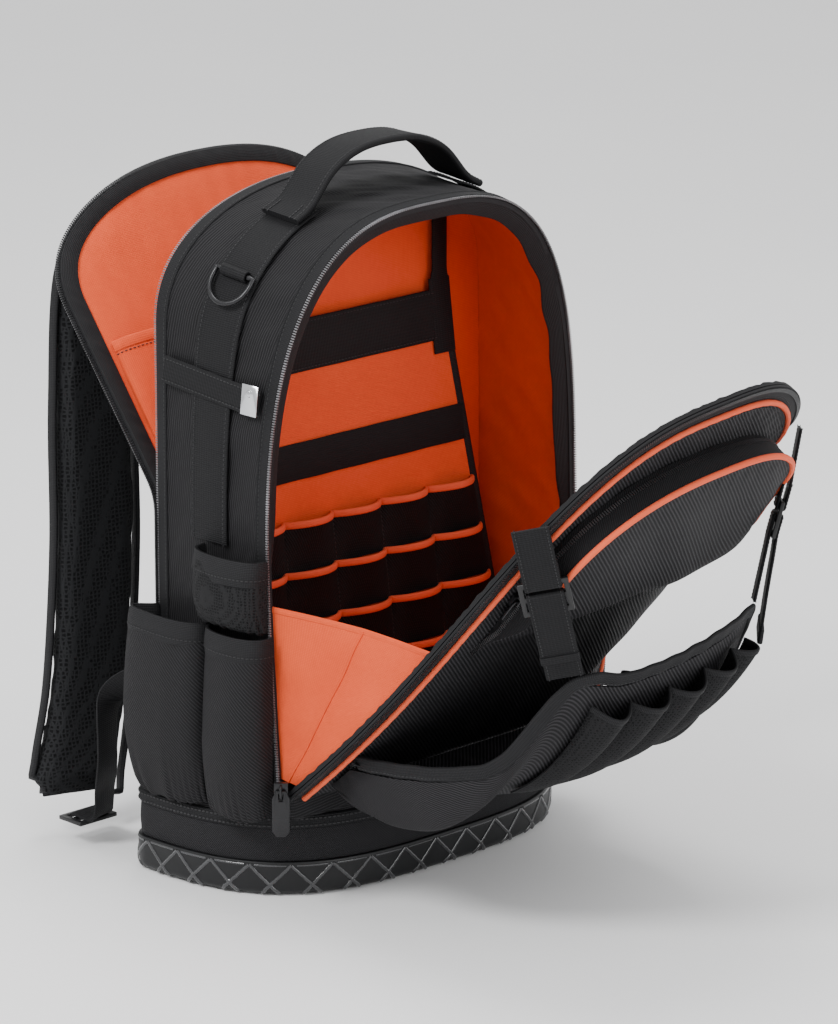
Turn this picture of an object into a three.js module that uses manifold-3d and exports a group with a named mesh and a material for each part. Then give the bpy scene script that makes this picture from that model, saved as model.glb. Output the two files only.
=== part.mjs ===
// Tool backpack: a hard-based pack with its front flap and its rear panel unzipped
// Millimetres, +Z up, -Y the flap side, +Y the wearer's back, X across
// The origin is the middle of the flat underside of the base

import * as THREE from 'three';
import { mergeVertices } from 'three/addons/utils/BufferGeometryUtils.js';
import Module from 'manifold-3d';

const wasm = await Module();
wasm.setup();

// Clearances and cloth
const GAP = 0.3;
const CLOTH = 2.2;
const LINING = 1.0;
const THIN_CLOTH = 1.6;
const WEBBING = 1.8;
const PIPING_RADIUS = 2.1;

// Base, as seen from above: a flat back and a rounded front
const BASE_HALF_WIDTH = 170;
const BASE_FRONT = -81.5;
const BASE_BACK = 81.5;
const BASE_POWER = 3.1;
const BASE_CORNER = 20;
const TRAY_HEIGHT = 25;
const TRAY_WALL = 3.2;
const TRAY_EDGE = 6;
const BAND_HEIGHT = 24;
const BAND_WALL = 2.6;
const BAND_INSET = 2.2;
const BINDING_HEIGHT = 10.4;
const BINDING_PROUD = 1.2;
const BASE_STEPS = 32;

// Foot of the walls, where the body narrows from the base to the pack
const FOOT_HEIGHT = 23;
const FOOT_CORNER = 10;
const FOOT_POWER = 14;

// Arches: the front opening's rim and the rear opening's rim
const FRONT_HALF_WIDTH = 154.7;
const FRONT_SPRING = 230.5;
const FRONT_RISE = 260;
const FRONT_POWER = 2.9;
const FRONT_Y = -64.5;
const FRONT_BOW = 11;
const REAR_HALF_WIDTH = 155.5;
const REAR_SPRING = 405;
const REAR_RISE = 91.5;
const REAR_POWER = 2.29;
const REAR_Y = 59;
const ZIP_WIDTH = 10;
const ZIP_THICKNESS = 2.8;
const ARCH_POINTS = 30;

// Divider and tool board inside the main room
const DIVIDER_THICKNESS = 3;
const DIVIDER_EASE = 0.6;
const LAPTOP_ROOM = 12;
const BOARD_THICKNESS = 3;
const BOARD_TOP = 383;
const BOARD_BOTTOM = 100;
const BOARD_TOP_HALF_WIDTH = 107;
const BOARD_BOTTOM_HALF_WIDTH = 139;
const BOARD_TOP_SETBACK = 5;
const BOARD_BOTTOM_SETBACK = 42;
const BOARD_BAND_HEIGHT = 38;
const BOARD_BAND_HALF_WIDTH = 94;
const HANGER_WIDTH = 19;
const HANGER_TOP_WIDTH = 9;
const HANGER_EASE = 2.4;
const ELASTIC_MIDDLE = 291.5;
const ELASTIC_WIDTH = 27;
const TIER_PITCH = 36.5;
const TIER_TOP = 248;
const TIER_FLARE = 13;
const TIER_COUNT = 4;
const TIER_LOOPS = 5;

// Front flap, lying open on its foot seam
const FLAP_TILT = 40.3;
const FLAP_BEND = 8;
const FLAP_TWIST = 2.15;
const FLAP_THICKNESS = 4;
const FLAP_FOOT_Y = -73.6;
const FLAP_FOOT_BOW = 6;
const FLAP_BORDER = 11;
const FLAP_EASE = 7;
const FLAP_FOOT_SEAM = 0.5;
const FLAP_COLUMNS = 6;

// Zipped pocket on the flap
const POUCH_HALF_WIDTH = 115;
const POUCH_FOOT = 196;
const POUCH_SPRING = 262;
const POUCH_RISE = 92;
const POUCH_POWER = 2.4;
const POUCH_DEPTH = 22;

// Bellows pocket on the flap
const BELLOWS_DEPTH = 100;
const BELLOWS_SAG = 40;
const BELLOWS_SWING = 20;
const RIM_WIDTH = 11;
const RIM_THICKNESS = 3.2;
const RIM_EASE = 1.2;
const SLOT_EASE = 1.1;
const SLOT_DEPTH = 14;
const SLOT_LOOPS = 5;

// Straps with buckles from the flap to the bellows pocket
const STRAP_WIDTH = 26;
const BUCKLE_WIDTH = 35;
const BUCKLE_LENGTH = 27;
const BUCKLE_THICKNESS = 3;
const BUCKLE_BAR = 4.4;
const STRAP_TURN = 44;
const STRAP_ANCHOR = 136;
const STRAP_ANCHOR_ALONG = 318;
const LEFT_BUCKLE_SHARE = 0.7;
const RIGHT_BUCKLE_SHARE = 0.62;
const LEFT_TAIL = 52;
const RIGHT_TAIL = 92;

// Stop gussets that hold the flap half open
const WING_HEIGHT = 134;
const WING_REACH = 196;
const WING_FOLD = 14;
const WING_DIP = 3;
const WING_GAP = 12;

// Rear panel, leaning back from its bend
const PANEL_THICKNESS = 3;
const PANEL_BEND = 262;
const PANEL_BEND_LENGTH = 34;
const PANEL_LEAN = 31;
const PANEL_EXTRA = 25;
const PANEL_EDGE_LEAN = 7;
const PANEL_CURL = 26;
const PANEL_CURL_LENGTH = 62;
const PANEL_BORDER = 12;
const SLEEVE_TOP = 392;
const SLEEVE_BOTTOM = 214;
const SLEEVE_HALF_WIDTH = 138;
const SLEEVE_DEPTH = 11;
const PANEL_EASE = 1;
const PAD_HALF_WIDTH = 118;
const PAD_BOTTOM = 96;
const PAD_TOP = 462;
const PAD_THICKNESS = 15;

// Shoulder straps
const HARNESS_WIDTH = 72;
const HARNESS_THICKNESS = 13;
const HARNESS_TOP = 482;
const HARNESS_TOP_X = 56;
const HARNESS_REACH = 137;
const HARNESS_TURN = 0.25;
const TAB_X = 138;
const TAB_HEIGHT = 142;
const LOWER_WEBBING_WIDTH = 25;
const LOWER_REACH = 26;
const LOWER_BACK = 40;
const LOWER_DROP = 72;
const LOCK_WIDTH = 36;
const LOCK_LENGTH = 24;

// Handle, side webbing and rings
const HANDLE_WIDTH = 37;
const HANDLE_HALF_SPAN = 85;
const HANDLE_PEAK = 530;
const HANDLE_Y = -2;
const HANDLE_THICKNESS = 5;
const SIDE_WEBBING_BOTTOM = 258;
const WEBBING_EASE = 0.7;
const RING_WIDTH = 37;
const RING_DROP = 24;
const RING_WIRE = 3.6;
const RING_HEIGHT = 446;
const CLIP_HEIGHT = 370;
const CLIP_BAND_WIDTH = 20;
const CLIP_WIDTH = 15;
const CLIP_LENGTH = 22;
const CLIP_THICKNESS = 1.4;
const CLIP_Y = -44;
const RIVET_RADIUS = 3;

// Side pockets
const POCKET_TOP = 200;
const POCKET_DEPTH = 27;
const POCKET_SPLIT = -2.5;
const POCKET_REAR = 59;
const POCKET_REAR_BULGE = 22;
const TALL_POCKET_TOP = 255;
const TALL_POCKET_REAR = 9;
const TALL_POCKET_DEPTH = 22;

// Zip sliders and pulls
const SLIDER_LENGTH = 12;
const SLIDER_WIDTH = 10;
const SLIDER_THICKNESS = 4;
const PULL_LENGTH = 33;
const PULL_WIDTH = 12.5;
const PULL_THICKNESS = 2;
const BRIDGE_WIRE = 2;
const BRIDGE_HALF = 4.3;
const SLIDER_HEIGHT = 91;
const SMALL_SCALE = 0.7;
const SMALL_PULL_LENGTH = 20;
const SMALL_PULL_WIDTH = 7;

const TOP_OF_BAND = TRAY_HEIGHT + GAP + BAND_HEIGHT;
const TOP_OF_BASE = TOP_OF_BAND + GAP + BINDING_HEIGHT;
const FOOT_TOP = TOP_OF_BASE + GAP + FOOT_HEIGHT;
const WALL_FOOT = FOOT_TOP + GAP;

// Materials

function finish(color, roughness, metalness = 0) {
  return new THREE.MeshStandardMaterial({ color, roughness, metalness });
}

const twill = finish(0x2d2b30, 0.85);
const binding = finish(0x1f1f22, 0.8);
const webbing = finish(0x1c1c1f, 0.75);
const orangeLining = finish(0xe86a3c, 0.8);
const piping = finish(0xeb6e50, 0.6);
const mesh = finish(0x1a1b1d, 0.95);
const rubber = finish(0x202124, 0.4);
const plastic = finish(0x1b1b1d, 0.35);
const darkSteel = finish(0x55575b, 0.35, 1);
const chrome = finish(0xb8babd, 0.2, 1);

const group = new THREE.Group();

// Small tools for points and solids

function point(x, y, z) {
  return new THREE.Vector3(x, y, z);
}

function mix(a, b, share) {
  return a + (b - a) * share;
}

function smooth(from, to, value) {
  const share = Math.min(1, Math.max(0, (value - from) / (to - from)));
  return share * share * (3 - 2 * share);
}

function evenly(count) {
  return Array.from({ length: count + 1 }, (_, i) => i / count);
}

function value(rule, u, v) {
  return typeof rule === 'function' ? rule(u, v) : rule;
}

function signedVolume(points, triangles) {
  let sum = 0;
  for (const [a, b, c] of triangles) {
    sum += points[a].dot(points[b].clone().cross(points[c])) / 6;
  }
  return sum;
}

function geometryOf(points, triangles) {
  const outward = signedVolume(points, triangles) > 0;
  const turned = triangles.map(([a, b, c]) => (outward ? [a, b, c] : [a, c, b]));
  const geometry = new THREE.BufferGeometry();
  geometry.setAttribute('position', new THREE.Float32BufferAttribute(points.flatMap((p) => p.toArray()), 3));
  geometry.setIndex(turned.flat());
  return geometry;
}

function addMesh(name, material, geometry) {
  const shape = new THREE.Mesh(geometry, material);
  shape.name = name;
  group.add(shape);
  return shape;
}

function quad(triangles, a, b, c, d) {
  triangles.push([a, b, c], [a, c, d]);
}

function normalAt(place, u, v, around) {
  const step = 0.002;
  const before = around ? u - step : Math.max(0, u - step);
  const after = around ? u + step : Math.min(1, u + step);
  const alongU = place(after, v).sub(place(before, v));
  const alongV = place(u, Math.min(1, v + step)).sub(place(u, Math.max(0, v - step)));
  return alongU.cross(alongV).normalize();
}

// A sheet: the solid between two offsets of the surface place(u, v)
// With around true the sheet closes on itself in u
function sheetGeometry(place, { us, vs, low, high, around = false }) {
  const columns = around ? us.slice(0, -1) : us;
  const width = columns.length;
  const points = [];
  for (const rule of [low, high]) {
    for (const v of vs) {
      for (const u of columns) {
        const normal = normalAt(place, u, v, around);
        points.push(place(u, v).addScaledVector(normal, value(rule, u, v)));
      }
    }
  }
  const face = width * vs.length;
  const triangles = [];
  const next = (i) => (i + 1) % width;
  const last = around ? width : width - 1;
  for (let j = 0; j + 1 < vs.length; j += 1) {
    for (let i = 0; i < last; i += 1) {
      const a = j * width + i;
      const b = j * width + next(i);
      const c = b + width;
      const d = a + width;
      quad(triangles, a, b, c, d);
      quad(triangles, face + a, face + d, face + c, face + b);
    }
  }
  const top = (vs.length - 1) * width;
  for (let i = 0; i < last; i += 1) {
    quad(triangles, face + i, face + next(i), next(i), i);
    quad(triangles, top + i, top + next(i), face + top + next(i), face + top + i);
  }
  if (!around) {
    for (let j = 0; j + 1 < vs.length; j += 1) {
      const left = j * width;
      const right = left + width - 1;
      quad(triangles, left, left + width, face + left + width, face + left);
      quad(triangles, face + right, face + right + width, right + width, right);
    }
  }
  return geometryOf(points, triangles);
}

function sheet(name, material, place, options) {
  return addMesh(name, material, sheetGeometry(place, options));
}

// A loft through rings of points, capped at both ends or closed on itself
function loftGeometry(rings, closed = false) {
  const count = rings[0].length;
  const points = rings.flat();
  const triangles = [];
  const spans = closed ? rings.length : rings.length - 1;
  for (let j = 0; j < spans; j += 1) {
    const start = j * count;
    const end = ((j + 1) % rings.length) * count;
    for (let i = 0; i < count; i += 1) {
      const k = (i + 1) % count;
      quad(triangles, start + i, start + k, end + k, end + i);
    }
  }
  if (!closed) {
    const end = (rings.length - 1) * count;
    for (let i = 1; i + 1 < count; i += 1) {
      triangles.push([0, i + 1, i], [end, end + i, end + i + 1]);
    }
  }
  return geometryOf(points, triangles);
}

// A smooth route through rows of points, cut into even steps
function route(rows, steps) {
  const curve = new THREE.CatmullRomCurve3(rows, false, 'centripetal');
  return evenly(steps).map((share) => curve.getPoint(share));
}

function tangents(points) {
  return points.map((_, i) => {
    const before = points[Math.max(0, i - 1)];
    const after = points[Math.min(points.length - 1, i + 1)];
    return after.clone().sub(before).normalize();
  });
}

// A flat band along a route: sides gives the direction of its width at each point
function ribbonGeometry(points, sides, widths, thickness) {
  const along = tangents(points);
  const rings = points.map((centre, i) => {
    const share = i / (points.length - 1);
    const side = value(sides, share).clone().normalize();
    const normal = along[i].clone().cross(side).normalize();
    const half = value(widths, share) / 2;
    const thick = value(thickness, share) / 2;
    return [[-1, -1], [1, -1], [1, 1], [-1, 1]].map(([a, b]) => (
      centre.clone().addScaledVector(side, a * half).addScaledVector(normal, b * thick)
    ));
  });
  return loftGeometry(rings);
}

// A round bar along a route, with up giving a steady direction across it
function barGeometry(points, radius, sides, up, closed = false) {
  const count = points.length;
  const rings = points.map((centre, i) => {
    const before = closed ? points[(i + count - 1) % count] : points[Math.max(0, i - 1)];
    const after = closed ? points[(i + 1) % count] : points[Math.min(count - 1, i + 1)];
    const along = after.clone().sub(before).normalize();
    const side = along.clone().cross(value(up, i)).normalize();
    const lift = side.clone().cross(along).normalize();
    return Array.from({ length: sides }, (_, k) => {
      const turn = (k + 0.5) * 2 * Math.PI / sides;
      return centre.clone()
        .addScaledVector(side, radius * Math.cos(turn))
        .addScaledVector(lift, radius * Math.sin(turn));
    });
  });
  return loftGeometry(rings, closed);
}

function extruded(shape, depth) {
  const geometry = new THREE.ExtrudeGeometry(shape, { depth, bevelEnabled: false, curveSegments: 5 });
  geometry.translate(0, 0, -depth / 2);
  return geometry;
}

// Joining and cutting of closed solids

function toSolid(geometry) {
  const bare = geometry.clone();
  bare.deleteAttribute('normal');
  bare.deleteAttribute('uv');
  const merged = mergeVertices(bare, 1e-4);
  return new wasm.Manifold(new wasm.Mesh({
    numProp: 3,
    vertProperties: new Float32Array(merged.attributes.position.array),
    triVerts: new Uint32Array(merged.index.array),
  }));
}

function fromSolid(solid) {
  const { vertProperties, triVerts } = solid.getMesh();
  const geometry = new THREE.BufferGeometry();
  geometry.setAttribute('position', new THREE.Float32BufferAttribute(vertProperties, 3));
  geometry.setIndex(Array.from(triVerts));
  return geometry;
}

function joined(geometries) {
  const solids = geometries.map(toSolid);
  return fromSolid(solids.reduce((sum, solid) => sum.add(solid)));
}

// The seam at the flap's foot, seen from above
function flapFootY(x) {
  const across = x / FRONT_HALF_WIDTH;
  return FLAP_FOOT_Y - FLAP_FOOT_BOW * (1 - across * across);
}

// Plans: closed outlines seen from above, flat at the back and rounded in front
// limit, where given, is a curve that the front stays behind

// Every plan has its points on the base plan's rays, so that walls between two plans don't twist
function plan({ halfWidth, front, back, corner, power, limit = () => front }, inset = 0) {
  const half = halfWidth - inset;
  const rear = back - inset;
  const depth = rear - (front + inset);
  const radius = Math.max(1, corner - inset);
  const start = Math.asin((radius / depth) ** (BASE_POWER / 2));
  const points = [];
  const cornerSteps = 3;
  for (let i = 0; i < cornerSteps; i += 1) {
    const turn = (Math.PI / 2) * (1 - i / cornerSteps);
    points.push([half - radius + radius * Math.cos(turn), rear - radius + radius * Math.sin(turn)]);
  }
  const frontSteps = BASE_STEPS - 2 * cornerSteps;
  for (let i = 0; i <= frontSteps; i += 1) {
    const turn = mix(start, Math.PI - start, i / frontSteps);
    const across = Math.abs(Math.cos(turn)) ** (2 / BASE_POWER);
    const ahead = Math.sin(turn) ** (2 / BASE_POWER);
    const reach = (across ** power + ahead ** power) ** (-1 / power);
    const x = Math.sign(Math.cos(turn)) * half * across * reach;
    points.push([x, Math.max(limit(x) + inset, rear - depth * ahead * reach)]);
  }
  for (let i = 1; i <= cornerSteps; i += 1) {
    const turn = (Math.PI / 2) * (1 - i / cornerSteps);
    const across = radius * (1 - Math.sin(turn + Math.PI / 2));
    points.push([-half + across, rear - radius * Math.sin(turn)]);
  }
  return points;
}

const basePlan = {
  halfWidth: BASE_HALF_WIDTH, front: BASE_FRONT, back: BASE_BACK, corner: BASE_CORNER, power: BASE_POWER,
};
const footPlan = {
  limit: flapFootY, halfWidth: REAR_HALF_WIDTH + GAP, front: flapFootY(0), back: REAR_Y, corner: FOOT_CORNER,
  power: FOOT_POWER,
};

// A ring wall whose rows each have a plan, an inset and a height
function planRing(rows) {
  return loftGeometry(rows.map(([outline, inset, height]) => (
    plan(outline, inset).map(([x, y]) => point(x, y, height))
  )), true);
}

// A cup whose rows run from the middle of its underside to the middle of its floor
function planCup(rows) {
  return loftGeometry(rows.map(([outline, inset, height]) => (
    plan(outline, inset).map(([x, y]) => point(x, y, height))
  )));
}

function addBase() {
  addMesh('base_tray', rubber, planCup([
    [basePlan, TRAY_EDGE, 0],
    [basePlan, TRAY_EDGE * 0.3, TRAY_EDGE * 0.25],
    [basePlan, 0, TRAY_EDGE],
    [basePlan, 0, TRAY_HEIGHT],
    [basePlan, TRAY_WALL, TRAY_HEIGHT],
    [basePlan, TRAY_WALL, TRAY_WALL],
  ]));
  addMesh('base_band', twill, planRing([
    [basePlan, BAND_INSET, TRAY_HEIGHT + GAP],
    [basePlan, BAND_INSET, TOP_OF_BAND],
    [basePlan, BAND_INSET + BAND_WALL, TOP_OF_BAND],
    [basePlan, BAND_INSET + BAND_WALL, TRAY_HEIGHT + GAP],
  ]));
  const outer = BAND_INSET - BINDING_PROUD;
  const inner = BAND_INSET + BAND_WALL;
  addMesh('base_binding', binding, planRing([
    [basePlan, outer, TOP_OF_BAND + GAP],
    [basePlan, outer, TOP_OF_BASE],
    [basePlan, inner, TOP_OF_BASE],
    [basePlan, inner, TOP_OF_BAND + GAP],
  ]));
}

// The foot wall steps in from the base's plan to the pack's plan
function addFoot() {
  const low = TOP_OF_BASE + GAP;
  const outer = BAND_INSET + 1;
  addMesh('body_foot', twill, planRing([
    [basePlan, outer, low],
    [footPlan, 0, low + FOOT_HEIGHT * 0.3],
    [footPlan, 0, FOOT_TOP],
    [footPlan, CLOTH, FOOT_TOP],
    [footPlan, CLOTH, low + FOOT_HEIGHT * 0.3 - CLOTH],
    [basePlan, outer + CLOTH, low],
  ]));
}

// Arches: rows of points from the left foot over the top to the right foot

function archPoint(arch, inset, turn) {
  const half = arch.halfWidth - inset;
  const rise = arch.rise - inset;
  const across = half * Math.abs(Math.cos(turn)) ** (2 / arch.power);
  const up = rise * Math.sin(turn) ** (2 / arch.power);
  return [-Math.sign(Math.cos(turn)) * across, arch.spring + up];
}

function archTable(arch, inset) {
  const fine = 160;
  const points = [[-(arch.halfWidth - inset), arch.foot]];
  for (let i = 0; i <= fine; i += 1) {
    points.push(archPoint(arch, inset, Math.PI * i / fine));
  }
  points.push([arch.halfWidth - inset, arch.foot]);
  const lengths = [0];
  for (let i = 1; i < points.length; i += 1) {
    const step = Math.hypot(points[i][0] - points[i - 1][0], points[i][1] - points[i - 1][1]);
    lengths.push(lengths[i - 1] + step);
  }
  return { points, lengths, total: lengths[lengths.length - 1] };
}

// The point of an arch at a share of its length
function onArch(table, share) {
  const wanted = share * table.total;
  let i = 1;
  while (i < table.lengths.length - 1 && table.lengths[i] < wanted) {
    i += 1;
  }
  const part = (wanted - table.lengths[i - 1]) / (table.lengths[i] - table.lengths[i - 1]);
  const [ax, az] = table.points[i - 1];
  const [bx, bz] = table.points[i];
  return [mix(ax, bx, part), mix(az, bz, part)];
}

const frontArch = {
  halfWidth: FRONT_HALF_WIDTH, spring: FRONT_SPRING, rise: FRONT_RISE, power: FRONT_POWER, foot: WALL_FOOT,
};
const rearArch = {
  halfWidth: REAR_HALF_WIDTH, spring: REAR_SPRING, rise: REAR_RISE, power: REAR_POWER, foot: WALL_FOOT,
};
const archShares = evenly(ARCH_POINTS - 1);
const frontTable = archTable(frontArch, 0);
const rearTable = archTable(rearArch, 0);
const FRONT_TOP = FRONT_SPRING + FRONT_RISE;

function frontY(height) {
  const share = (height - WALL_FOOT) / (FRONT_TOP - WALL_FOOT);
  return FRONT_Y + FRONT_BOW * Math.sin(Math.PI * Math.min(1, Math.max(0, share)));
}

// A point of the body's outer skin: share along the arch, depth from front to rear
function bodyPoint(share, depth) {
  const [frontX, frontZ] = onArch(frontTable, share);
  const [rearX, rearZ] = onArch(rearTable, share);
  return point(mix(frontX, rearX, depth), mix(frontY(frontZ), REAR_Y, depth), mix(frontZ, rearZ, depth));
}

const BODY_DEPTH = REAR_Y - FRONT_Y;
const zipShare = ZIP_WIDTH / BODY_DEPTH;
const seamShare = GAP / BODY_DEPTH;

function bodyNormal(share, depth) {
  return normalAt(bodyPoint, share, depth, false);
}

// The outward side of bodyPoint's normal
const outward = Math.sign(bodyNormal(0.1, 0.5).x) === -1 ? 1 : -1;

// A point held off the body's skin by lift
function offBody(share, depth, lift) {
  return bodyPoint(share, depth).addScaledVector(bodyNormal(share, depth), outward * lift);
}

function bodySheet(name, material, depths, lowLift, highLift) {
  sheet(name, material, bodyPoint, {
    us: archShares, vs: depths, low: outward * lowLift, high: outward * highLift,
  });
}

function addBody() {
  const middle = [0.5];
  bodySheet('body_gusset', twill, [zipShare + seamShare, ...middle, 1 - zipShare - seamShare], -CLOTH, 0);
  bodySheet('front_zip', binding, [0, zipShare], -CLOTH, ZIP_THICKNESS - CLOTH);
  bodySheet('rear_zip', binding, [1 - zipShare, 1], -CLOTH, ZIP_THICKNESS - CLOTH);
  const lift = -CLOTH - GAP;
  const depths = [0, zipShare, ...middle, 1 - zipShare, 1];
  bodySheet('gusset_lining', orangeLining, depths, lift - LINING, lift);
}

const INNER_INSET = CLOTH + GAP + LINING + GAP;
const DIVIDER_Y = REAR_Y - LAPTOP_ROOM - DIVIDER_THICKNESS / 2;

// Rows of a panel that fills an arch: half-width and height at each row
function archRows(arch, inset, foot) {
  const table = archTable({ ...arch, foot }, inset);
  return archShares.filter((share) => share < 0.5).map((share) => {
    const [x, z] = onArch(table, share);
    return [-x, z];
  });
}

function rowsPlace(rows, place) {
  return (u, v) => {
    const at = v * (rows.length - 1);
    const row = Math.min(rows.length - 2, Math.floor(at));
    const half = mix(rows[row][0], rows[row + 1][0], at - row);
    const height = mix(rows[row][1], rows[row + 1][1], at - row);
    return place(mix(-half, half, u), height);
  };
}

function addDivider() {
  const depth = (DIVIDER_Y - FRONT_Y) / BODY_DEPTH;
  const rows = archShares.filter((share) => share < 0.5).map((share) => {
    const inner = offBody(share, depth, -INNER_INSET - DIVIDER_EASE);
    return [-inner.x, Math.max(inner.z, WALL_FOOT)];
  });
  sheet('divider', orangeLining, rowsPlace(rows, (x, z) => point(x, DIVIDER_Y, z)), {
    us: [0, 1], vs: evenly(rows.length - 1), low: -DIVIDER_THICKNESS / 2, high: DIVIDER_THICKNESS / 2,
  });
}

// Flap: across x and along s from its foot seam, standing off by lift on its outer side

const FLAP_SPRING = FRONT_SPRING - WALL_FOOT + FLAP_EASE;
const FLAP_LENGTH = FLAP_SPRING + FRONT_RISE;
const flapArch = {
  halfWidth: FRONT_HALF_WIDTH, spring: FLAP_SPRING, rise: FRONT_RISE, power: FRONT_POWER, foot: 0,
};

function flapPlace(x, s) {
  const across = x / FRONT_HALF_WIDTH;
  const start = THREE.MathUtils.degToRad(FLAP_TILT + FLAP_BEND - FLAP_TWIST * across);
  const rate = THREE.MathUtils.degToRad(2 * FLAP_BEND) / FLAP_LENGTH;
  const forward = (Math.cos(start - rate * s) - Math.cos(start)) / rate;
  const up = (Math.sin(start) - Math.sin(start - rate * s)) / rate;
  return point(x, flapFootY(x) - forward, WALL_FOOT + up);
}

function onFlap(x, s, lift) {
  const step = 0.5;
  const alongX = flapPlace(x + step, s).sub(flapPlace(x - step, s));
  const alongS = flapPlace(x, s + step).sub(flapPlace(x, s - step));
  const normal = alongX.cross(alongS).normalize();
  if (normal.y > 0) {
    normal.negate();
  }
  return flapPlace(x, s).addScaledVector(normal, lift);
}

function addFlap() {
  const inset = FLAP_BORDER + 2 * GAP + 2 * PIPING_RADIUS;
  const rows = archRows(flapArch, inset, FLAP_FOOT_SEAM);
  sheet('flap_panel', twill, rowsPlace(rows, (x, s) => onFlap(x, s, FLAP_THICKNESS / 2)), {
    us: evenly(FLAP_COLUMNS), vs: evenly(rows.length - 1), low: -FLAP_THICKNESS / 2, high: FLAP_THICKNESS / 2,
  });
  const lined = archRows(flapArch, 3, FLAP_FOOT_SEAM);
  sheet('flap_lining', orangeLining, rowsPlace(lined, (x, s) => onFlap(x, s, -GAP - LINING / 2)), {
    us: evenly(FLAP_COLUMNS), vs: evenly(lined.length - 1), low: -LINING / 2, high: LINING / 2,
  });
  const from = FLAP_FOOT_SEAM / archTable(flapArch, 0).total;
  const tables = [archTable(flapArch, 0), archTable(flapArch, FLAP_BORDER)];
  const shares = archShares.map((share) => mix(from, 1 - from, share));
  sheet('flap_zip', binding, (u, v) => {
    const share = mix(from, 1 - from, u);
    const [ax, as] = onArch(tables[0], share);
    const [bx, bs] = onArch(tables[1], share);
    return onFlap(mix(ax, bx, v), mix(as, bs, v), ZIP_THICKNESS / 2);
  }, { us: archShares, vs: [0, 1], low: -ZIP_THICKNESS / 2, high: ZIP_THICKNESS / 2 });
  const middle = archTable(flapArch, FLAP_BORDER + GAP + PIPING_RADIUS);
  const path = shares.map((share) => {
    const [x, s] = onArch(middle, share);
    return onFlap(x, s, FLAP_THICKNESS - 0.5);
  });
  const ups = shares.map((share) => {
    const [x, s] = onArch(middle, share);
    return onFlap(x, s, 10).sub(onFlap(x, s, 0));
  });
  addMesh('flap_piping', piping, barGeometry(path, PIPING_RADIUS, 5, (i) => ups[i]));
}

// Zipped pouch on the upper half of the flap

const pouchArch = {
  halfWidth: POUCH_HALF_WIDTH, spring: POUCH_SPRING, rise: POUCH_RISE, power: POUCH_POWER,
};

function rowHeight(rows, v) {
  const at = v * (rows.length - 1);
  const row = Math.min(rows.length - 2, Math.floor(at));
  return mix(rows[row][1], rows[row + 1][1], at - row);
}

function pouchDepth(s) {
  return mix(THIN_CLOTH, POUCH_DEPTH, smooth(POUCH_FOOT, POUCH_SPRING, s));
}

function addPouch() {
  const rows = archRows(pouchArch, 0, POUCH_FOOT);
  const base = FLAP_THICKNESS + GAP;
  const place = rowsPlace(rows, (x, s) => onFlap(x, s, base));
  const out = Math.sign(normalAt(place, 0.5, 0.5, false).dot(point(0, -1, 0)));
  sheet('flap_pouch', twill, place, {
    us: evenly(FLAP_COLUMNS), vs: evenly(rows.length - 1), low: 0, high: (u, v) => out * pouchDepth(rowHeight(rows, v)),
  });
}

// Bellows pocket: each row ties a point of its seam on the flap to a point of its rim
// Across is a share of the flap's half-width, along of its length, lift of the pocket's depth

const bellowsRows = [
  { seamAcross: -0.84, seamAlong: 0.055, rimAcross: -0.87, rimAlong: 0.125, rimLift: 0.075 },
  { seamAcross: -0.84, seamAlong: 0.05, rimAcross: -0.83, rimAlong: 0.2, rimLift: 0.34 },
  { seamAcross: -0.8, seamAlong: 0.045, rimAcross: -0.77, rimAlong: 0.285, rimLift: 0.6 },
  { seamAcross: -0.72, seamAlong: 0.045, rimAcross: -0.7, rimAlong: 0.37, rimLift: 0.75 },
  { seamAcross: -0.6, seamAlong: 0.045, rimAcross: -0.61, rimAlong: 0.55, rimLift: 0.7 },
  { seamAcross: -0.36, seamAlong: 0.045, rimAcross: -0.34, rimAlong: 0.56, rimLift: 0.8 },
  { seamAcross: 0, seamAlong: 0.045, rimAcross: 0, rimAlong: 0.56, rimLift: 0.8 },
  { seamAcross: 0.36, seamAlong: 0.045, rimAcross: 0.34, rimAlong: 0.56, rimLift: 0.74 },
  { seamAcross: 0.6, seamAlong: 0.045, rimAcross: 0.62, rimAlong: 0.535, rimLift: 0.64 },
  { seamAcross: 0.72, seamAlong: 0.045, rimAcross: 0.71, rimAlong: 0.38, rimLift: 0.68 },
  { seamAcross: 0.8, seamAlong: 0.045, rimAcross: 0.78, rimAlong: 0.285, rimLift: 0.56 },
  { seamAcross: 0.84, seamAlong: 0.05, rimAcross: 0.83, rimAlong: 0.2, rimLift: 0.32 },
  { seamAcross: 0.84, seamAlong: 0.055, rimAcross: 0.87, rimAlong: 0.125, rimLift: 0.075 },
];
const SEAM_LIFT = FLAP_THICKNESS + GAP + THIN_CLOTH / 2;
const seamCurve = new THREE.CatmullRomCurve3(bellowsRows.map((row) => (
  onFlap(row.seamAcross * FRONT_HALF_WIDTH, row.seamAlong * FLAP_LENGTH, SEAM_LIFT)
)));
const rimCurve = new THREE.CatmullRomCurve3(bellowsRows.map((row) => onFlap(
  row.rimAcross * FRONT_HALF_WIDTH, row.rimAlong * FLAP_LENGTH, row.rimLift * BELLOWS_DEPTH,
)));

function bellowsPlace(u, v) {
  const sag = 4 * v * (1 - v) * Math.sqrt(Math.max(0, Math.sin(Math.PI * u)));
  const droop = point(0, -BELLOWS_SWING * sag, -BELLOWS_SAG * sag);
  return seamCurve.getPoint(u).lerp(rimCurve.getPoint(u), v).add(droop);
}

const bellowsOut = Math.sign(normalAt(bellowsPlace, 0.5, 0.5, false).dot(point(0, -0.6, -0.8)));

function rimDirection(u) {
  return bellowsPlace(u, 1).sub(bellowsPlace(u, 0.94)).normalize();
}

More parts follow.
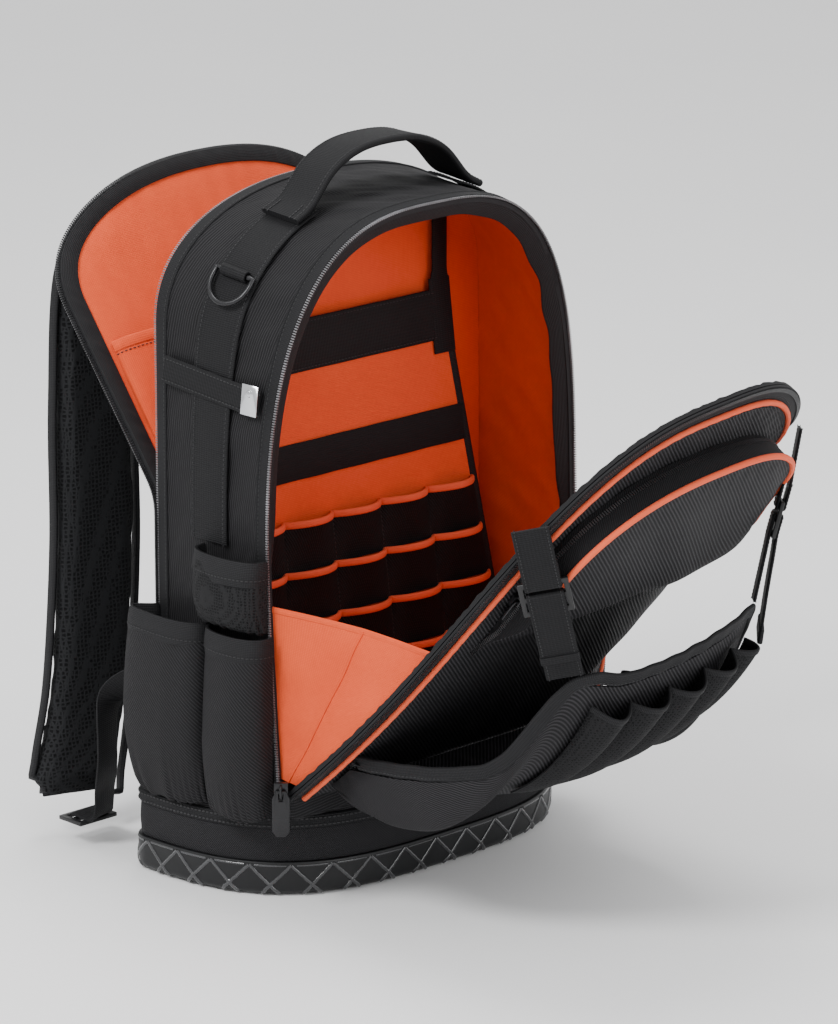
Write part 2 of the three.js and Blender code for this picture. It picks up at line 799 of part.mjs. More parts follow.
function addBellows() {
  sheet('bellows_pocket', twill, bellowsPlace, {
    us: evenly(24), vs: evenly(4), low: -THIN_CLOTH / 2, high: THIN_CLOTH / 2,
  });
  const path = evenly(24).map((u) => (
    rimCurve.getPoint(u).addScaledVector(rimDirection(u), RIM_WIDTH / 2 + RIM_EASE)
  ));
  addMesh('bellows_binding', binding, ribbonGeometry(path, rimDirection, RIM_WIDTH, RIM_THICKNESS));
}

const SLOTS_LEFT = 9 / 24;
const SLOTS_RIGHT = 16 / 24;
const SLOTS_FOOT = 2 / 4;
const SLOTS_MOUTH = 0.94;

function addToolSlots() {
  const place = (u, v) => bellowsPlace(mix(SLOTS_LEFT, SLOTS_RIGHT, u), v);
  const base = (THIN_CLOTH / 2 + SLOT_EASE) * bellowsOut;
  const raised = (v) => (v - SLOTS_FOOT) / (SLOTS_MOUTH - SLOTS_FOOT);
  const loops = (u, v) => raised(v) * SLOT_DEPTH * Math.abs(Math.sin(Math.PI * SLOT_LOOPS * u));
  sheet('tool_slots', mesh, place, {
    us: evenly(SLOT_LOOPS * 4),
    vs: [SLOTS_FOOT, 3 / 4, SLOTS_MOUTH],
    low: (u, v) => base + bellowsOut * loops(u, v),
    high: (u, v) => base + bellowsOut * (THIN_CLOTH + loops(u, v)),
  });
}

// Straps from the flap's edge through a ladder buckle to the bellows pocket

// A local frame: across the strap, up along it and out of its face
function strapFrame(top, foot, side, share) {
  const up = top.clone().sub(foot).normalize();
  const turn = THREE.MathUtils.degToRad(STRAP_TURN);
  const across = point(Math.cos(turn), side * Math.sin(turn), 0);
  const out = across.clone().cross(up).normalize();
  if (out.y > 0) {
    out.negate();
  }
  const level = up.clone().cross(out).normalize();
  const middle = foot.clone().lerp(top, share);
  return {
    middle, up, out, level, at: (y, z) => middle.clone().addScaledVector(up, y).addScaledVector(out, z),
  };
}

function buckleGeometry(frame) {
  const shape = new THREE.Shape();
  const halfWidth = BUCKLE_WIDTH / 2;
  const halfLength = BUCKLE_LENGTH / 2;
  shape.moveTo(-halfWidth, -halfLength);
  shape.lineTo(halfWidth, -halfLength);
  shape.lineTo(halfWidth, halfLength);
  shape.lineTo(-halfWidth, halfLength);
  shape.closePath();
  const slotHalf = STRAP_WIDTH / 2 + 1;
  const slotHeight = (BUCKLE_LENGTH - 3 * BUCKLE_BAR) / 2;
  for (const start of [BUCKLE_BAR / 2, -BUCKLE_BAR / 2 - slotHeight]) {
    const slot = new THREE.Path();
    slot.moveTo(-slotHalf, start);
    slot.lineTo(-slotHalf, start + slotHeight);
    slot.lineTo(slotHalf, start + slotHeight);
    slot.lineTo(slotHalf, start);
    slot.closePath();
    shape.holes.push(slot);
  }
  const geometry = extruded(shape, BUCKLE_THICKNESS);
  const basis = new THREE.Matrix4().makeBasis(frame.level, frame.up, frame.level.clone().cross(frame.up));
  geometry.applyMatrix4(basis.setPosition(frame.middle));
  return geometry;
}

function addFlapStrap(side) {
  const name = side < 0 ? 'left' : 'right';
  const lift = FLAP_THICKNESS + PIPING_RADIUS + WEBBING / 2;
  const anchor = onFlap(side * STRAP_ANCHOR, STRAP_ANCHOR_ALONG, lift);
  const corner = bellowsRows[side < 0 ? 4 : 8];
  const foot = onFlap(
    corner.rimAcross * FRONT_HALF_WIDTH, corner.rimAlong * FLAP_LENGTH, corner.rimLift * BELLOWS_DEPTH,
  );
  const share = side < 0 ? LEFT_BUCKLE_SHARE : RIGHT_BUCKLE_SHARE;
  const frame = strapFrame(anchor, foot, side, share);
  const face = BUCKLE_THICKNESS / 2 + GAP + WEBBING / 2;
  const wrap = BUCKLE_BAR / 2 + GAP + WEBBING / 2;
  const topBar = (BUCKLE_LENGTH - BUCKLE_BAR) / 2;
  const reach = anchor.distanceTo(frame.middle);
  const fold = 14;
  const upper = [
    frame.at(reach, 0), frame.at(topBar + fold + 4, face * 0.8), frame.at(topBar + fold, face),
    frame.at(topBar, face), frame.at(topBar - wrap * 0.9, face * 0.9), frame.at(topBar - wrap, 0),
    frame.at(topBar - wrap * 0.9, -face * 0.9), frame.at(topBar, -face), frame.at(topBar + fold, -face),
  ];
  addMesh(`flap_strap_${name}`, webbing, ribbonGeometry(upper, () => frame.level, STRAP_WIDTH, WEBBING));
  addMesh(`strap_buckle_${name}`, plastic, buckleGeometry(frame));
  const drop = frame.middle.distanceTo(foot);
  const end = side < 0 ? LEFT_TAIL : RIGHT_TAIL;
  const hang = side < 0 ? 0 : 1;
  const seat = RIM_WIDTH + GAP + RIM_THICKNESS;
  const lower = [
    frame.at(-drop + seat, 0), frame.at(-topBar - 8, -face * 0.8), frame.at(-topBar, -face), frame.at(0, -face),
    frame.at(wrap * 0.9, -face * 0.9), frame.at(wrap, 0), frame.at(wrap * 0.9, face * 0.9), frame.at(0, face),
    frame.at(-topBar, face),
    frame.at(-topBar - 12, face + 1).addScaledVector(point(0, 0, -2), hang),
    frame.at(-end * 0.6, face + 1.5).addScaledVector(point(side, 0.4, 0), hang * 9),
    frame.at(-end, face + 1.5).addScaledVector(point(side, 0.4, 0), hang * 22),
  ];
  addMesh(`pocket_strap_${name}`, webbing, ribbonGeometry(lower, () => frame.level, STRAP_WIDTH, WEBBING));
}

// Stop gussets between the body's opening and the flap, each folded once

function addWing(side) {
  const inset = INNER_INSET + THIN_CLOTH;
  const x = side * (FRONT_HALF_WIDTH - inset);
  const place = (u, v) => {
    const height = WALL_FOOT + mix(WING_GAP, WING_HEIGHT, v);
    const body = point(x, frontY(height) + 3, height);
    const flap = onFlap(x, mix(WING_GAP, WING_REACH, v), -LINING - 2 * GAP - THIN_CLOTH / 2);
    const fold = Math.sin(Math.PI * u);
    const top = body.lerp(flap, u);
    top.x -= side * WING_FOLD * fold * v;
    top.z -= WING_DIP * fold * v;
    return top;
  };
  sheet(`stop_gusset_${side < 0 ? 'left' : 'right'}`, orangeLining, place, {
    us: [0, 0.25, 0.5, 0.75, 1], vs: evenly(4), low: -THIN_CLOTH / 2, high: THIN_CLOTH / 2,
  });
}

// Tool board that leans on the divider, with its band, hangers and pocket tiers

const DIVIDER_FACE = DIVIDER_Y - DIVIDER_THICKNESS / 2;
const BOARD_HEIGHT = BOARD_TOP - BOARD_BOTTOM;
const boardLean = (BOARD_BOTTOM_SETBACK - BOARD_TOP_SETBACK) / BOARD_HEIGHT;
const boardOut = point(0, -1, boardLean).normalize();
const boardUp = point(0, boardLean, 1).normalize();

function boardHalfWidth(z) {
  return mix(BOARD_BOTTOM_HALF_WIDTH, BOARD_TOP_HALF_WIDTH, (z - BOARD_BOTTOM) / BOARD_HEIGHT);
}

function onBoard(x, z, lift) {
  const setback = mix(BOARD_BOTTOM_SETBACK, BOARD_TOP_SETBACK, (z - BOARD_BOTTOM) / BOARD_HEIGHT);
  return point(x, DIVIDER_FACE - setback, z).addScaledVector(boardOut, lift);
}

// The room's ceiling above a place: the inner skin's height at x and a share of the depth
function ceiling(x, depth) {
  let share = 0;
  while (offBody(share, depth, -INNER_INSET).x < -Math.abs(x) && share < 0.5) {
    share += 0.002;
  }
  return offBody(share, depth, -INNER_INSET).z;
}

function addBoard() {
  const thick = BOARD_THICKNESS / 2;
  sheet('tool_board', orangeLining, (u, v) => {
    const z = mix(BOARD_BOTTOM, BOARD_TOP, v);
    return onBoard(mix(-boardHalfWidth(z), boardHalfWidth(z), u), z, 0);
  }, { us: [0, 1], vs: [0, 1], low: -thick, high: thick });
  const lift = thick + GAP + WEBBING / 2;
  const middle = BOARD_TOP - BOARD_BAND_HEIGHT / 4;
  const half = BOARD_BAND_HALF_WIDTH + 1;
  const across = [onBoard(-half, middle, lift), onBoard(half, middle, lift)];
  const band = ribbonGeometry(across, () => boardUp, BOARD_BAND_HEIGHT, WEBBING);
  const depth = (DIVIDER_FACE - BOARD_TOP_SETBACK - FRONT_Y) / BODY_DEPTH;
  const hangers = [-1, 1].map((side) => {
    const x = side * (BOARD_BAND_HALF_WIDTH + HANGER_WIDTH / 2);
    const top = ceiling(Math.abs(x) + HANGER_TOP_WIDTH / 2, depth) - HANGER_EASE;
    const path = [BOARD_TOP - BOARD_BAND_HEIGHT, BOARD_TOP + 12, BOARD_TOP + 24, top].map((z) => (
      point(x, onBoard(x, Math.min(z, BOARD_TOP + 12), lift).y, z)
    ));
    const width = (share) => (share < 0.5 ? HANGER_WIDTH : HANGER_TOP_WIDTH);
    return ribbonGeometry(path, () => point(1, 0, 0), width, WEBBING);
  });
  addMesh('board_band', webbing, joined([band, ...hangers]));
}

// A level elastic band above the tiers
function addElastic() {
  const half = boardHalfWidth(ELASTIC_MIDDLE) - CLOTH;
  const lift = BOARD_THICKNESS / 2 + GAP + THIN_CLOTH / 2;
  const ends = [onBoard(-half, ELASTIC_MIDDLE, lift), onBoard(half, ELASTIC_MIDDLE, lift)];
  addMesh('board_elastic', webbing, ribbonGeometry(ends, () => boardUp, ELASTIC_WIDTH, THIN_CLOTH));
}

function addTiers() {
  const lift = BOARD_THICKNESS / 2 + GAP;
  for (let tier = 0; tier < TIER_COUNT; tier += 1) {
    const top = TIER_TOP - tier * TIER_PITCH;
    const foot = top - TIER_PITCH + 2 * GAP;
    const place = (u, v) => {
      const z = mix(foot, top, v);
      const half = boardHalfWidth(z) - 3;
      return onBoard(mix(-half, half, u), z, lift);
    };
    const out = Math.sign(normalAt(place, 0.5, 0.5, false).dot(boardOut));
    const flare = (u, v) => v * TIER_FLARE * Math.abs(Math.sin(Math.PI * TIER_LOOPS * u)) ** 0.8;
    sheet(`board_tier_${tier + 1}`, twill, place, {
      us: evenly(TIER_LOOPS * 4),
      vs: [0, 1],
      low: (u, v) => out * flare(u, v),
      high: (u, v) => out * (flare(u, v) + THIN_CLOTH),
    });
  }
}

// Rear panel: across x and along s, upright below its bend and leaning above it

const panelArch = { ...rearArch, spring: REAR_SPRING + PANEL_EXTRA };
const PANEL_TOP = panelArch.spring + REAR_RISE;
const PANEL_Y = REAR_Y + GAP + PANEL_THICKNESS / 2;

function panelPlace(x, s) {
  const across = (x / REAR_HALF_WIDTH) ** 2;
  const lean = THREE.MathUtils.degToRad(PANEL_LEAN + PANEL_EDGE_LEAN * across);
  const curl = THREE.MathUtils.degToRad(PANEL_CURL * across);
  const steps = 16;
  let y = PANEL_Y;
  let z = Math.min(s, PANEL_BEND);
  for (let i = 0; i < steps && s > PANEL_BEND; i += 1) {
    const length = (s - PANEL_BEND) / steps;
    const at = PANEL_BEND + (i + 0.5) * length;
    const bent = lean * smooth(PANEL_BEND, PANEL_BEND + PANEL_BEND_LENGTH, at);
    const angle = bent - curl * smooth(PANEL_TOP - PANEL_CURL_LENGTH, PANEL_TOP, at);
    y += length * Math.sin(angle);
    z += length * Math.cos(angle);
  }
  return point(x, y, z);
}

// A point held off the panel towards the wearer by lift
function onPanel(x, s, lift) {
  const step = 0.5;
  const alongX = panelPlace(x + step, s).sub(panelPlace(x - step, s));
  const alongS = panelPlace(x, s + step).sub(panelPlace(x, s - step));
  const normal = alongX.cross(alongS).normalize();
  if (normal.y < 0) {
    normal.negate();
  }
  return panelPlace(x, s).addScaledVector(normal, lift);
}

// Rows of every sheet on the panel share these stations, so that their facets lie parallel
const panelStations = [
  ...evenly(2).map((share) => mix(WALL_FOOT, PANEL_BEND, share)),
  ...evenly(4).slice(1).map((share) => PANEL_BEND + PANEL_BEND_LENGTH * share),
  ...evenly(2).slice(1).map((share) => mix(PANEL_BEND + PANEL_BEND_LENGTH, panelArch.spring, share)),
  ...[0.3, 0.5, 0.68, 0.83, 0.94, 0.995].map((share) => panelArch.spring + REAR_RISE * share),
];
const panelColumns = [-1, -0.5, 0, 0.5, 1].map((share) => share * PAD_HALF_WIDTH / REAR_HALF_WIDTH);

function archHalf(arch, inset, s) {
  const over = Math.max(0, (s - arch.spring) / (arch.rise - inset));
  return (arch.halfWidth - inset) * Math.max(0, 1 - over ** arch.power) ** (1 / arch.power);
}

// Columns at the panel's own places for a narrower sheet on it
function columnsFor(half) {
  const inner = panelColumns.map((column) => 0.5 + column * REAR_HALF_WIDTH / half / 2);
  return [0, ...inner.filter((column) => column > 0.01 && column < 0.99), 1];
}

function stationsBetween(from, to) {
  return [from, ...panelStations.filter((s) => s > from + 1 && s < to - 1), to];
}

function panelSheet(name, material, { stations, half, lift, low, high, columns }) {
  const rows = stations.map((s) => [half(s), s]);
  const place = rowsPlace(rows, (x, s) => onPanel(x, s, value(lift, x, s)));
  sheet(name, material, place, { us: columns, vs: evenly(rows.length - 1), low, high });
}

function addPanel() {
  const thick = PANEL_THICKNESS / 2;
  panelSheet('rear_panel', twill, {
    stations: panelStations, half: (s) => archHalf(panelArch, 0, s), lift: 0,
    columns: columnsFor(REAR_HALF_WIDTH), low: -thick, high: thick,
  });
  panelSheet('rear_panel_lining', orangeLining, {
    stations: panelStations.filter((s) => s < PANEL_TOP - PANEL_BORDER * 1.2),
    half: (s) => archHalf(panelArch, PANEL_BORDER, s),
    lift: -thick - PANEL_EASE - LINING / 2,
    columns: columnsFor(REAR_HALF_WIDTH - PANEL_BORDER), low: -LINING / 2, high: LINING / 2,
  });
  const sleeveLift = -thick - 2 * PANEL_EASE - LINING - THIN_CLOTH / 2;
  const stand = (x, s) => {
    const bow = Math.max(0, 1 - (x / SLEEVE_HALF_WIDTH) ** 4) ** 0.5;
    return sleeveLift - SLEEVE_DEPTH * smooth(PANEL_BEND, SLEEVE_TOP, s) * bow;
  };
  panelSheet('laptop_sleeve', orangeLining, {
    stations: stationsBetween(SLEEVE_BOTTOM, SLEEVE_TOP), half: () => SLEEVE_HALF_WIDTH, lift: stand,
    columns: [0, 0.04, ...columnsFor(SLEEVE_HALF_WIDTH).slice(1, -1), 0.96, 1],
    low: -THIN_CLOTH / 2, high: THIN_CLOTH / 2,
  });
}

function addBackPad() {
  const lift = PANEL_THICKNESS / 2 + PANEL_EASE;
  const stations = stationsBetween(PAD_BOTTOM, PAD_TOP);
  const span = PAD_TOP - PAD_BOTTOM;
  const puff = (u, v) => {
    const share = (rowHeight(stations.map((s) => [0, s]), v) - PAD_BOTTOM) / span;
    const edge = Math.min(1, 8 * u * (1 - u)) ** 0.5 * Math.min(1, 14 * share * (1 - share)) ** 0.5;
    return mix(4, PAD_THICKNESS, edge);
  };
  panelSheet('back_pad', mesh, {
    stations,
    half: (s) => PAD_HALF_WIDTH * (1 - Math.abs(2 * (s - PAD_BOTTOM) / span - 1) ** 6 * 0.25),
    lift,
    columns: columnsFor(PAD_HALF_WIDTH),
    low: 0,
    high: (u, v) => padOut * puff(u, v),
  });
}

// The side of a panel sheet's normal that faces the wearer
const padPlace = (u, v) => panelPlace(mix(-1, 1, u), mix(PAD_BOTTOM, PANEL_BEND, v));
const padOut = Math.sign(normalAt(padPlace, 0.5, 0.5).y);

// Shoulder straps: rows from the panel's top down to the ladder lock
// Height is a share of the harness top, across of the rear half-width, back of the harness reach

const harnessRows = [
  { height: 0.86, across: -0.58, back: 0.985 },
  { height: 0.66, across: -0.69, back: 0.92 },
  { height: 0.44, across: -0.72, back: 0.885 },
  { height: 0.22, across: -0.8, back: 0.85 },
  { height: 0.1, across: -0.92, back: 0.79 },
  { height: 0.055, across: -0.98, back: 0.74 },
];

function addHarness(side) {
  const name = side < 0 ? 'left' : 'right';
  const off = PANEL_THICKNESS / 2 + PANEL_EASE + HARNESS_THICKNESS / 2;
  const rows = [
    onPanel(side * HARNESS_TOP_X, HARNESS_TOP, off),
    onPanel(side * HARNESS_TOP_X * 1.12, PAD_TOP - 4, off + PAD_THICKNESS + 4),
    ...harnessRows.map((row) => point(
      -side * row.across * REAR_HALF_WIDTH, REAR_Y + row.back * HARNESS_REACH, row.height * HARNESS_TOP,
    )),
  ];
  const path = route(rows, 20);
  const level = onPanel(side * (HARNESS_TOP_X + 10), HARNESS_TOP, 0)
    .sub(onPanel(side * (HARNESS_TOP_X - 10), HARNESS_TOP, 0)).multiplyScalar(side).normalize();
  const sides = (share) => level.clone().lerp(point(1, side * HARNESS_TURN * share, 0), smooth(0, 0.3, share));
  const taper = (share) => HARNESS_WIDTH * (share > 0.93 ? 0.72 : 1);
  const thin = (share) => HARNESS_THICKNESS * (share > 0.97 ? 0.5 : 1);
  addMesh(`shoulder_strap_${name}`, mesh, ribbonGeometry(path, sides, taper, thin));
  addLowerWebbing(side, name, path[path.length - 1]);
}

function addLowerWebbing(side, name, end) {
  const lockAt = end.clone().add(point(-side * -2, -LOCK_LENGTH / 2 - 5, -9));
  const shape = new THREE.Shape();
  shape.moveTo(-LOCK_WIDTH / 2, -LOCK_LENGTH / 2);
  shape.lineTo(LOCK_WIDTH / 2, -LOCK_LENGTH / 2);
  shape.lineTo(LOCK_WIDTH / 2, LOCK_LENGTH / 2);
  shape.lineTo(-LOCK_WIDTH / 2, LOCK_LENGTH / 2);
  shape.closePath();
  const slotHalf = LOWER_WEBBING_WIDTH / 2 + 1;
  for (const start of [2, -8]) {
    const slot = new THREE.Path();
    slot.moveTo(-slotHalf, start);
    slot.lineTo(-slotHalf, start + 6);
    slot.lineTo(slotHalf, start + 6);
    slot.lineTo(slotHalf, start);
    slot.closePath();
    shape.holes.push(slot);
  }
  const geometry = extruded(shape, BUCKLE_THICKNESS);
  geometry.translate(lockAt.x, lockAt.y, lockAt.z);
  addMesh(`strap_lock_${name}`, plastic, geometry);
  const tab = onPanel(side * TAB_X, TAB_HEIGHT, PANEL_THICKNESS / 2 + GAP + WEBBING / 2);
  const rise = BUCKLE_THICKNESS / 2 + GAP + WEBBING / 2;
  const path = route([
    tab,
    tab.clone().add(point(side * LOWER_REACH * 0.46, LOWER_BACK * 0.15, 0)),
    tab.clone().add(point(side * LOWER_REACH, LOWER_BACK, -LOWER_DROP * 0.3)),
    tab.clone().add(point(side * LOWER_REACH, LOWER_BACK * 1.15, -LOWER_DROP)),
    lockAt.clone().add(point(side * 2, -LOCK_LENGTH / 2 - 10, LOWER_REACH)),
    lockAt.clone().add(point(0, -LOCK_LENGTH / 2 - 3, rise + 2)),
    lockAt.clone().add(point(0, LOCK_LENGTH / 2 - 6, rise)),
  ], 16);
  const sides = (share) => {
    const turn = Math.PI / 2 * smooth(0.1, 0.6, share);
    return point(side * Math.sin(turn), -0.3 * Math.sin(turn), Math.cos(turn));
  };
  addMesh(`lower_webbing_${name}`, webbing, ribbonGeometry(path, sides, LOWER_WEBBING_WIDTH, WEBBING));
}

// Webbing down each side, the handle between and a ring on each side

const handleDepth = (HANDLE_Y - FRONT_Y) / BODY_DEPTH;

function shareWhere(test) {
  let share = 0;
  while (!test(bodyPoint(share, handleDepth)) && share < 0.5) {
    share += 0.002;
  }
  return share;
}

function onSide(side, share, lift) {
  return offBody(side < 0 ? share : 1 - share, handleDepth, lift);
}

// The direction from front to rear along the body's skin
function depthwise(side, share) {
  const at = (depth) => bodyPoint(side < 0 ? share : 1 - share, depth);
  return at(handleDepth + 0.02).sub(at(handleDepth - 0.02)).normalize();
}

function ringFrame(side) {
  const share = shareWhere((place) => place.z >= RING_HEIGHT);
  const normal = onSide(side, share, 1).sub(onSide(side, share, 0)).normalize();
  const rear = depthwise(side, share);
  const down = onSide(side, share - 0.01, 0).sub(onSide(side, share + 0.01, 0)).normalize();
  const loopRadius = RING_WIRE / 2 + GAP + THIN_CLOTH;
  const lift = WEBBING_EASE + WEBBING + loopRadius - THIN_CLOTH / 2;
  return { normal, down, rear, centre: onSide(side, share, lift), loopRadius };
}

function addSideWebbing(side) {
  const name = side < 0 ? 'left' : 'right';
  const from = shareWhere((place) => place.z >= SIDE_WEBBING_BOTTOM);
  const to = shareWhere((place) => place.x >= -HANDLE_HALF_SPAN);
  const halfDepth = HANDLE_WIDTH / 2 / BODY_DEPTH;
  const strip = sheetGeometry((u, v) => {
    const share = mix(from, to, u);
    return bodyPoint(side < 0 ? share : 1 - share, mix(handleDepth - halfDepth, handleDepth + halfDepth, v));
  }, {
    us: evenly(14),
    vs: [0, 1],
    low: -side * outward * WEBBING_EASE,
    high: -side * outward * (WEBBING_EASE + WEBBING),
  });
  const { normal, down, rear, centre, loopRadius } = ringFrame(side);
  const shape = new THREE.Shape();
  shape.absarc(0, 0, loopRadius, 0, 2 * Math.PI);
  const hole = new THREE.Path();
  hole.absarc(0, 0, RING_WIRE / 2 + GAP, 0, 2 * Math.PI, true);
  shape.holes.push(hole);
  const loop = extruded(shape, RING_WIDTH - 4 * RING_WIRE);
  const basis = new THREE.Matrix4().makeBasis(normal, rear.clone().cross(normal), rear);
  loop.applyMatrix4(basis.setPosition(centre));
  addMesh(`side_webbing_${name}`, webbing, joined([strip, loop]));
  const half = RING_WIDTH / 2 - RING_WIRE / 2;
  const corner = [[-half, 0], [half, 0]];
  const arc = evenly(9).map((share) => {
    const turn = Math.PI * share;
    return [half * Math.cos(turn), RING_DROP * 0.25 + RING_DROP * 0.75 * Math.sin(turn)];
  });
  const ring = [...corner, ...arc].map(([y, drop]) => (
    centre.clone().addScaledVector(rear, y).addScaledVector(down, drop)
  ));
  addMesh(`d_ring_${name}`, darkSteel, barGeometry(ring, RING_WIRE / 2, 8, normal, true));
}

function addHandle() {
  const lift = WEBBING_EASE + WEBBING + GAP + HANDLE_THICKNESS / 2 + 0.4;
  const low = shareWhere((place) => place.x >= -HANDLE_HALF_SPAN - 4);
  const high = shareWhere((place) => place.x >= -HANDLE_HALF_SPAN + 12);
  const half = [onSide(-1, low, lift), onSide(-1, high, lift + 2)];
  const peak = HANDLE_PEAK - HANDLE_THICKNESS / 2;
  const top = [
    point(-HANDLE_HALF_SPAN * 0.64, HANDLE_Y, mix(half[1].z, peak, 0.6)),
    point(-HANDLE_HALF_SPAN * 0.35, HANDLE_Y, mix(half[1].z, peak, 0.92)),
    point(0, HANDLE_Y, peak),
  ];
  const left = [...half, ...top];
  const right = left.slice(0, -1).reverse().map((p) => point(-p.x, p.y, p.z));
  const path = route([...left, ...right], 24);
  const start = depthwise(-1, low);
  const sides = (share) => {
    const end = point(start.x * (share < 0.5 ? 1 : -1), start.y, start.z);
    return point(0, 1, 0).lerp(end, smooth(0.3, 0.5, Math.abs(share - 0.5)));
  };
  addMesh('handle', webbing, ribbonGeometry(path, sides, HANDLE_WIDTH, HANDLE_THICKNESS));
}

// Webbing band with a riveted metal clip plate, on the left side only

function addClip() {
  const share = shareWhere((place) => place.z >= CLIP_HEIGHT);
  const lift = GAP + 1.5 * WEBBING + WEBBING_EASE;
  const depths = [0.1, 0.3, 0.5, 0.7, 0.9];
  const path = depths.map((depth) => offBody(share, depth, lift));
  const up = offBody(share + 0.01, 0.5, 0).sub(offBody(share - 0.01, 0.5, 0)).normalize();
  addMesh('clip_band', webbing, ribbonGeometry(path, () => up, CLIP_BAND_WIDTH, WEBBING));
  const depth = (CLIP_Y - FRONT_Y) / BODY_DEPTH;
  const out = bodyNormal(share, depth).multiplyScalar(outward);
  const along = out.clone().cross(up).normalize();
  const centre = offBody(share, depth, lift + WEBBING / 2 + GAP + CLIP_THICKNESS / 2);
  const plate = new THREE.BoxGeometry(CLIP_WIDTH, CLIP_LENGTH, CLIP_THICKNESS);
  const rivet = new THREE.CylinderGeometry(RIVET_RADIUS * 0.7, RIVET_RADIUS, CLIP_THICKNESS, 10);
  rivet.rotateX(Math.PI / 2);
  rivet.translate(0, CLIP_LENGTH * 0.22, CLIP_THICKNESS * 0.9);
  const clip = joined([plate, rivet]);
  const basis = new THREE.Matrix4().makeBasis(up.clone().cross(out), up, out);
  clip.applyMatrix4(basis.setPosition(centre));
  addMesh('tape_clip', chrome, clip);
}

// Side pockets: each row gives a height between foot and top and a share of the pocket's depth

const pocketRows = [
  { height: 0, depth: 0.08, droop: 0 },
  { height: 0, depth: 0.55, droop: 1 },
  { height: 0.1, depth: 0.8, droop: 0.6 },
  { height: 0.35, depth: 1, droop: 0 },
  { height: 0.7, depth: 0.95, droop: 0 },
  { height: 1, depth: 0.8, droop: 0 },
];

function addPocket(name, side, { rear, front, foot, top, depth, droop, bulge }) {
  const middle = (rear + front) / 2;
  const half = (rear - front) / 2;
  const proud = ZIP_THICKNESS - CLOTH + GAP;
  const wall = (y, z) => {
    const share = z < POCKET_TOP * 0.6 ? 1 : (y - FRONT_Y) / BODY_DEPTH;
    return proud + mix(FRONT_HALF_WIDTH, REAR_HALF_WIDTH, share);
  };
  const place = (u, v) => {
    const at = v * (pocketRows.length - 1);
    const row = Math.min(pocketRows.length - 2, Math.floor(at));
    const [a, b] = [pocketRows[row], pocketRows[row + 1]];
    const turn = Math.PI * u;
    const round = Math.sin(turn) ** 0.6;
    const out = depth * mix(a.depth, b.depth, at - row);
    const down = droop * mix(a.droop, b.droop, at - row) * Math.sin(turn);
    const swell = bulge * Math.max(0, Math.sin(2 * turn)) * out / depth;
    const y = middle + half * Math.cos(turn) + swell;
    const z = mix(foot, top, mix(a.height, b.height, at - row)) - down;
    return point(side * (wall(y, z) + out * round), y, z);
  };
  sheet(`${name}_${side < 0 ? 'left' : 'right'}`, twill, place, {
    us: evenly(8), vs: evenly(pocketRows.length - 1), low: -THIN_CLOTH / 2, high: THIN_CLOTH / 2,
  });
}

function addSidePockets(side) {
  const foot = TOP_OF_BASE + GAP + FOOT_HEIGHT * 0.3 + THIN_CLOTH;
  const droop = FOOT_HEIGHT * 0.3;
  addPocket('rear_pocket', side, {
    rear: POCKET_REAR, front: POCKET_SPLIT + 1.4, foot, top: POCKET_TOP, depth: POCKET_DEPTH, droop,
    bulge: POCKET_REAR_BULGE,
  });
  addPocket('front_pocket', side, {
    rear: POCKET_SPLIT - 1.4, front: FRONT_Y + 4, foot, top: POCKET_TOP, depth: POCKET_DEPTH * 0.94, droop,
    bulge: 0,
  });
}

// The third pocket stands above the front one, on the left side only
function addTallPocket() {
  addPocket('tall_pocket', -1, {
    rear: TALL_POCKET_REAR, front: FRONT_Y + 9, foot: POCKET_TOP + 3, top: TALL_POCKET_TOP,
    depth: TALL_POCKET_DEPTH, droop: 0, bulge: 0,
  });
}

// Zip sliders with a bridge, and pulls whose top bar turns under the bridge

// scale sets the slider's size, length and width the pull's
function addSlider(name, at, along, out, { scale, length, width }) {
  const across = along.clone().cross(out).normalize();
  const place = (y, z) => at.clone().addScaledVector(along, y).addScaledVector(out, z);
  const basis = new THREE.Matrix4().makeBasis(across, along, out);
  const wire = scale * BRIDGE_WIRE / 2;
  const bar = scale * PULL_THICKNESS / 2;
  const face = scale * SLIDER_THICKNESS / 2;
  const axis = face + bar * Math.SQRT2 + GAP;
  const crown = axis + bar * Math.SQRT2 + GAP + wire;
  const half = scale * BRIDGE_HALF;
  const body = new THREE.BoxGeometry(scale * SLIDER_WIDTH, scale * SLIDER_LENGTH, scale * SLIDER_THICKNESS);
  body.applyMatrix4(basis.clone().setPosition(at));
  const bridge = barGeometry([
    place(-half, 0), place(-half, crown - wire), place(-half + wire, crown),
    place(half - wire, crown), place(half, crown - wire), place(half, 0),
  ], wire, 6, across);
  addMesh(`${name}_slider`, darkSteel, joined([body, bridge]));
  const wide = width / 2;
  const eye = half + 2.4 * wire;
  const shape = new THREE.Shape();
  shape.moveTo(-wide * 0.6, bar);
  shape.lineTo(-wide, -eye * 0.7);
  shape.lineTo(-wide, wide * 0.6 - length);
  shape.lineTo(-wide * 0.5, -length);
  shape.lineTo(wide * 0.5, -length);
  shape.lineTo(wide, wide * 0.6 - length);
  shape.lineTo(wide, -eye * 0.7);
  shape.lineTo(wide * 0.6, bar);
  shape.closePath();
  const hole = new THREE.Path();
  const side = wire + 2 * GAP;
  hole.moveTo(-side, -bar);
  hole.lineTo(side, -bar);
  hole.lineTo(side, -eye);
  hole.lineTo(-side, -eye);
  hole.closePath();
  shape.holes.push(hole);
  const pull = extruded(shape, scale * PULL_THICKNESS);
  pull.applyMatrix4(basis.clone().setPosition(place(0, axis)));
  addMesh(`${name}_pull`, darkSteel, pull);
}

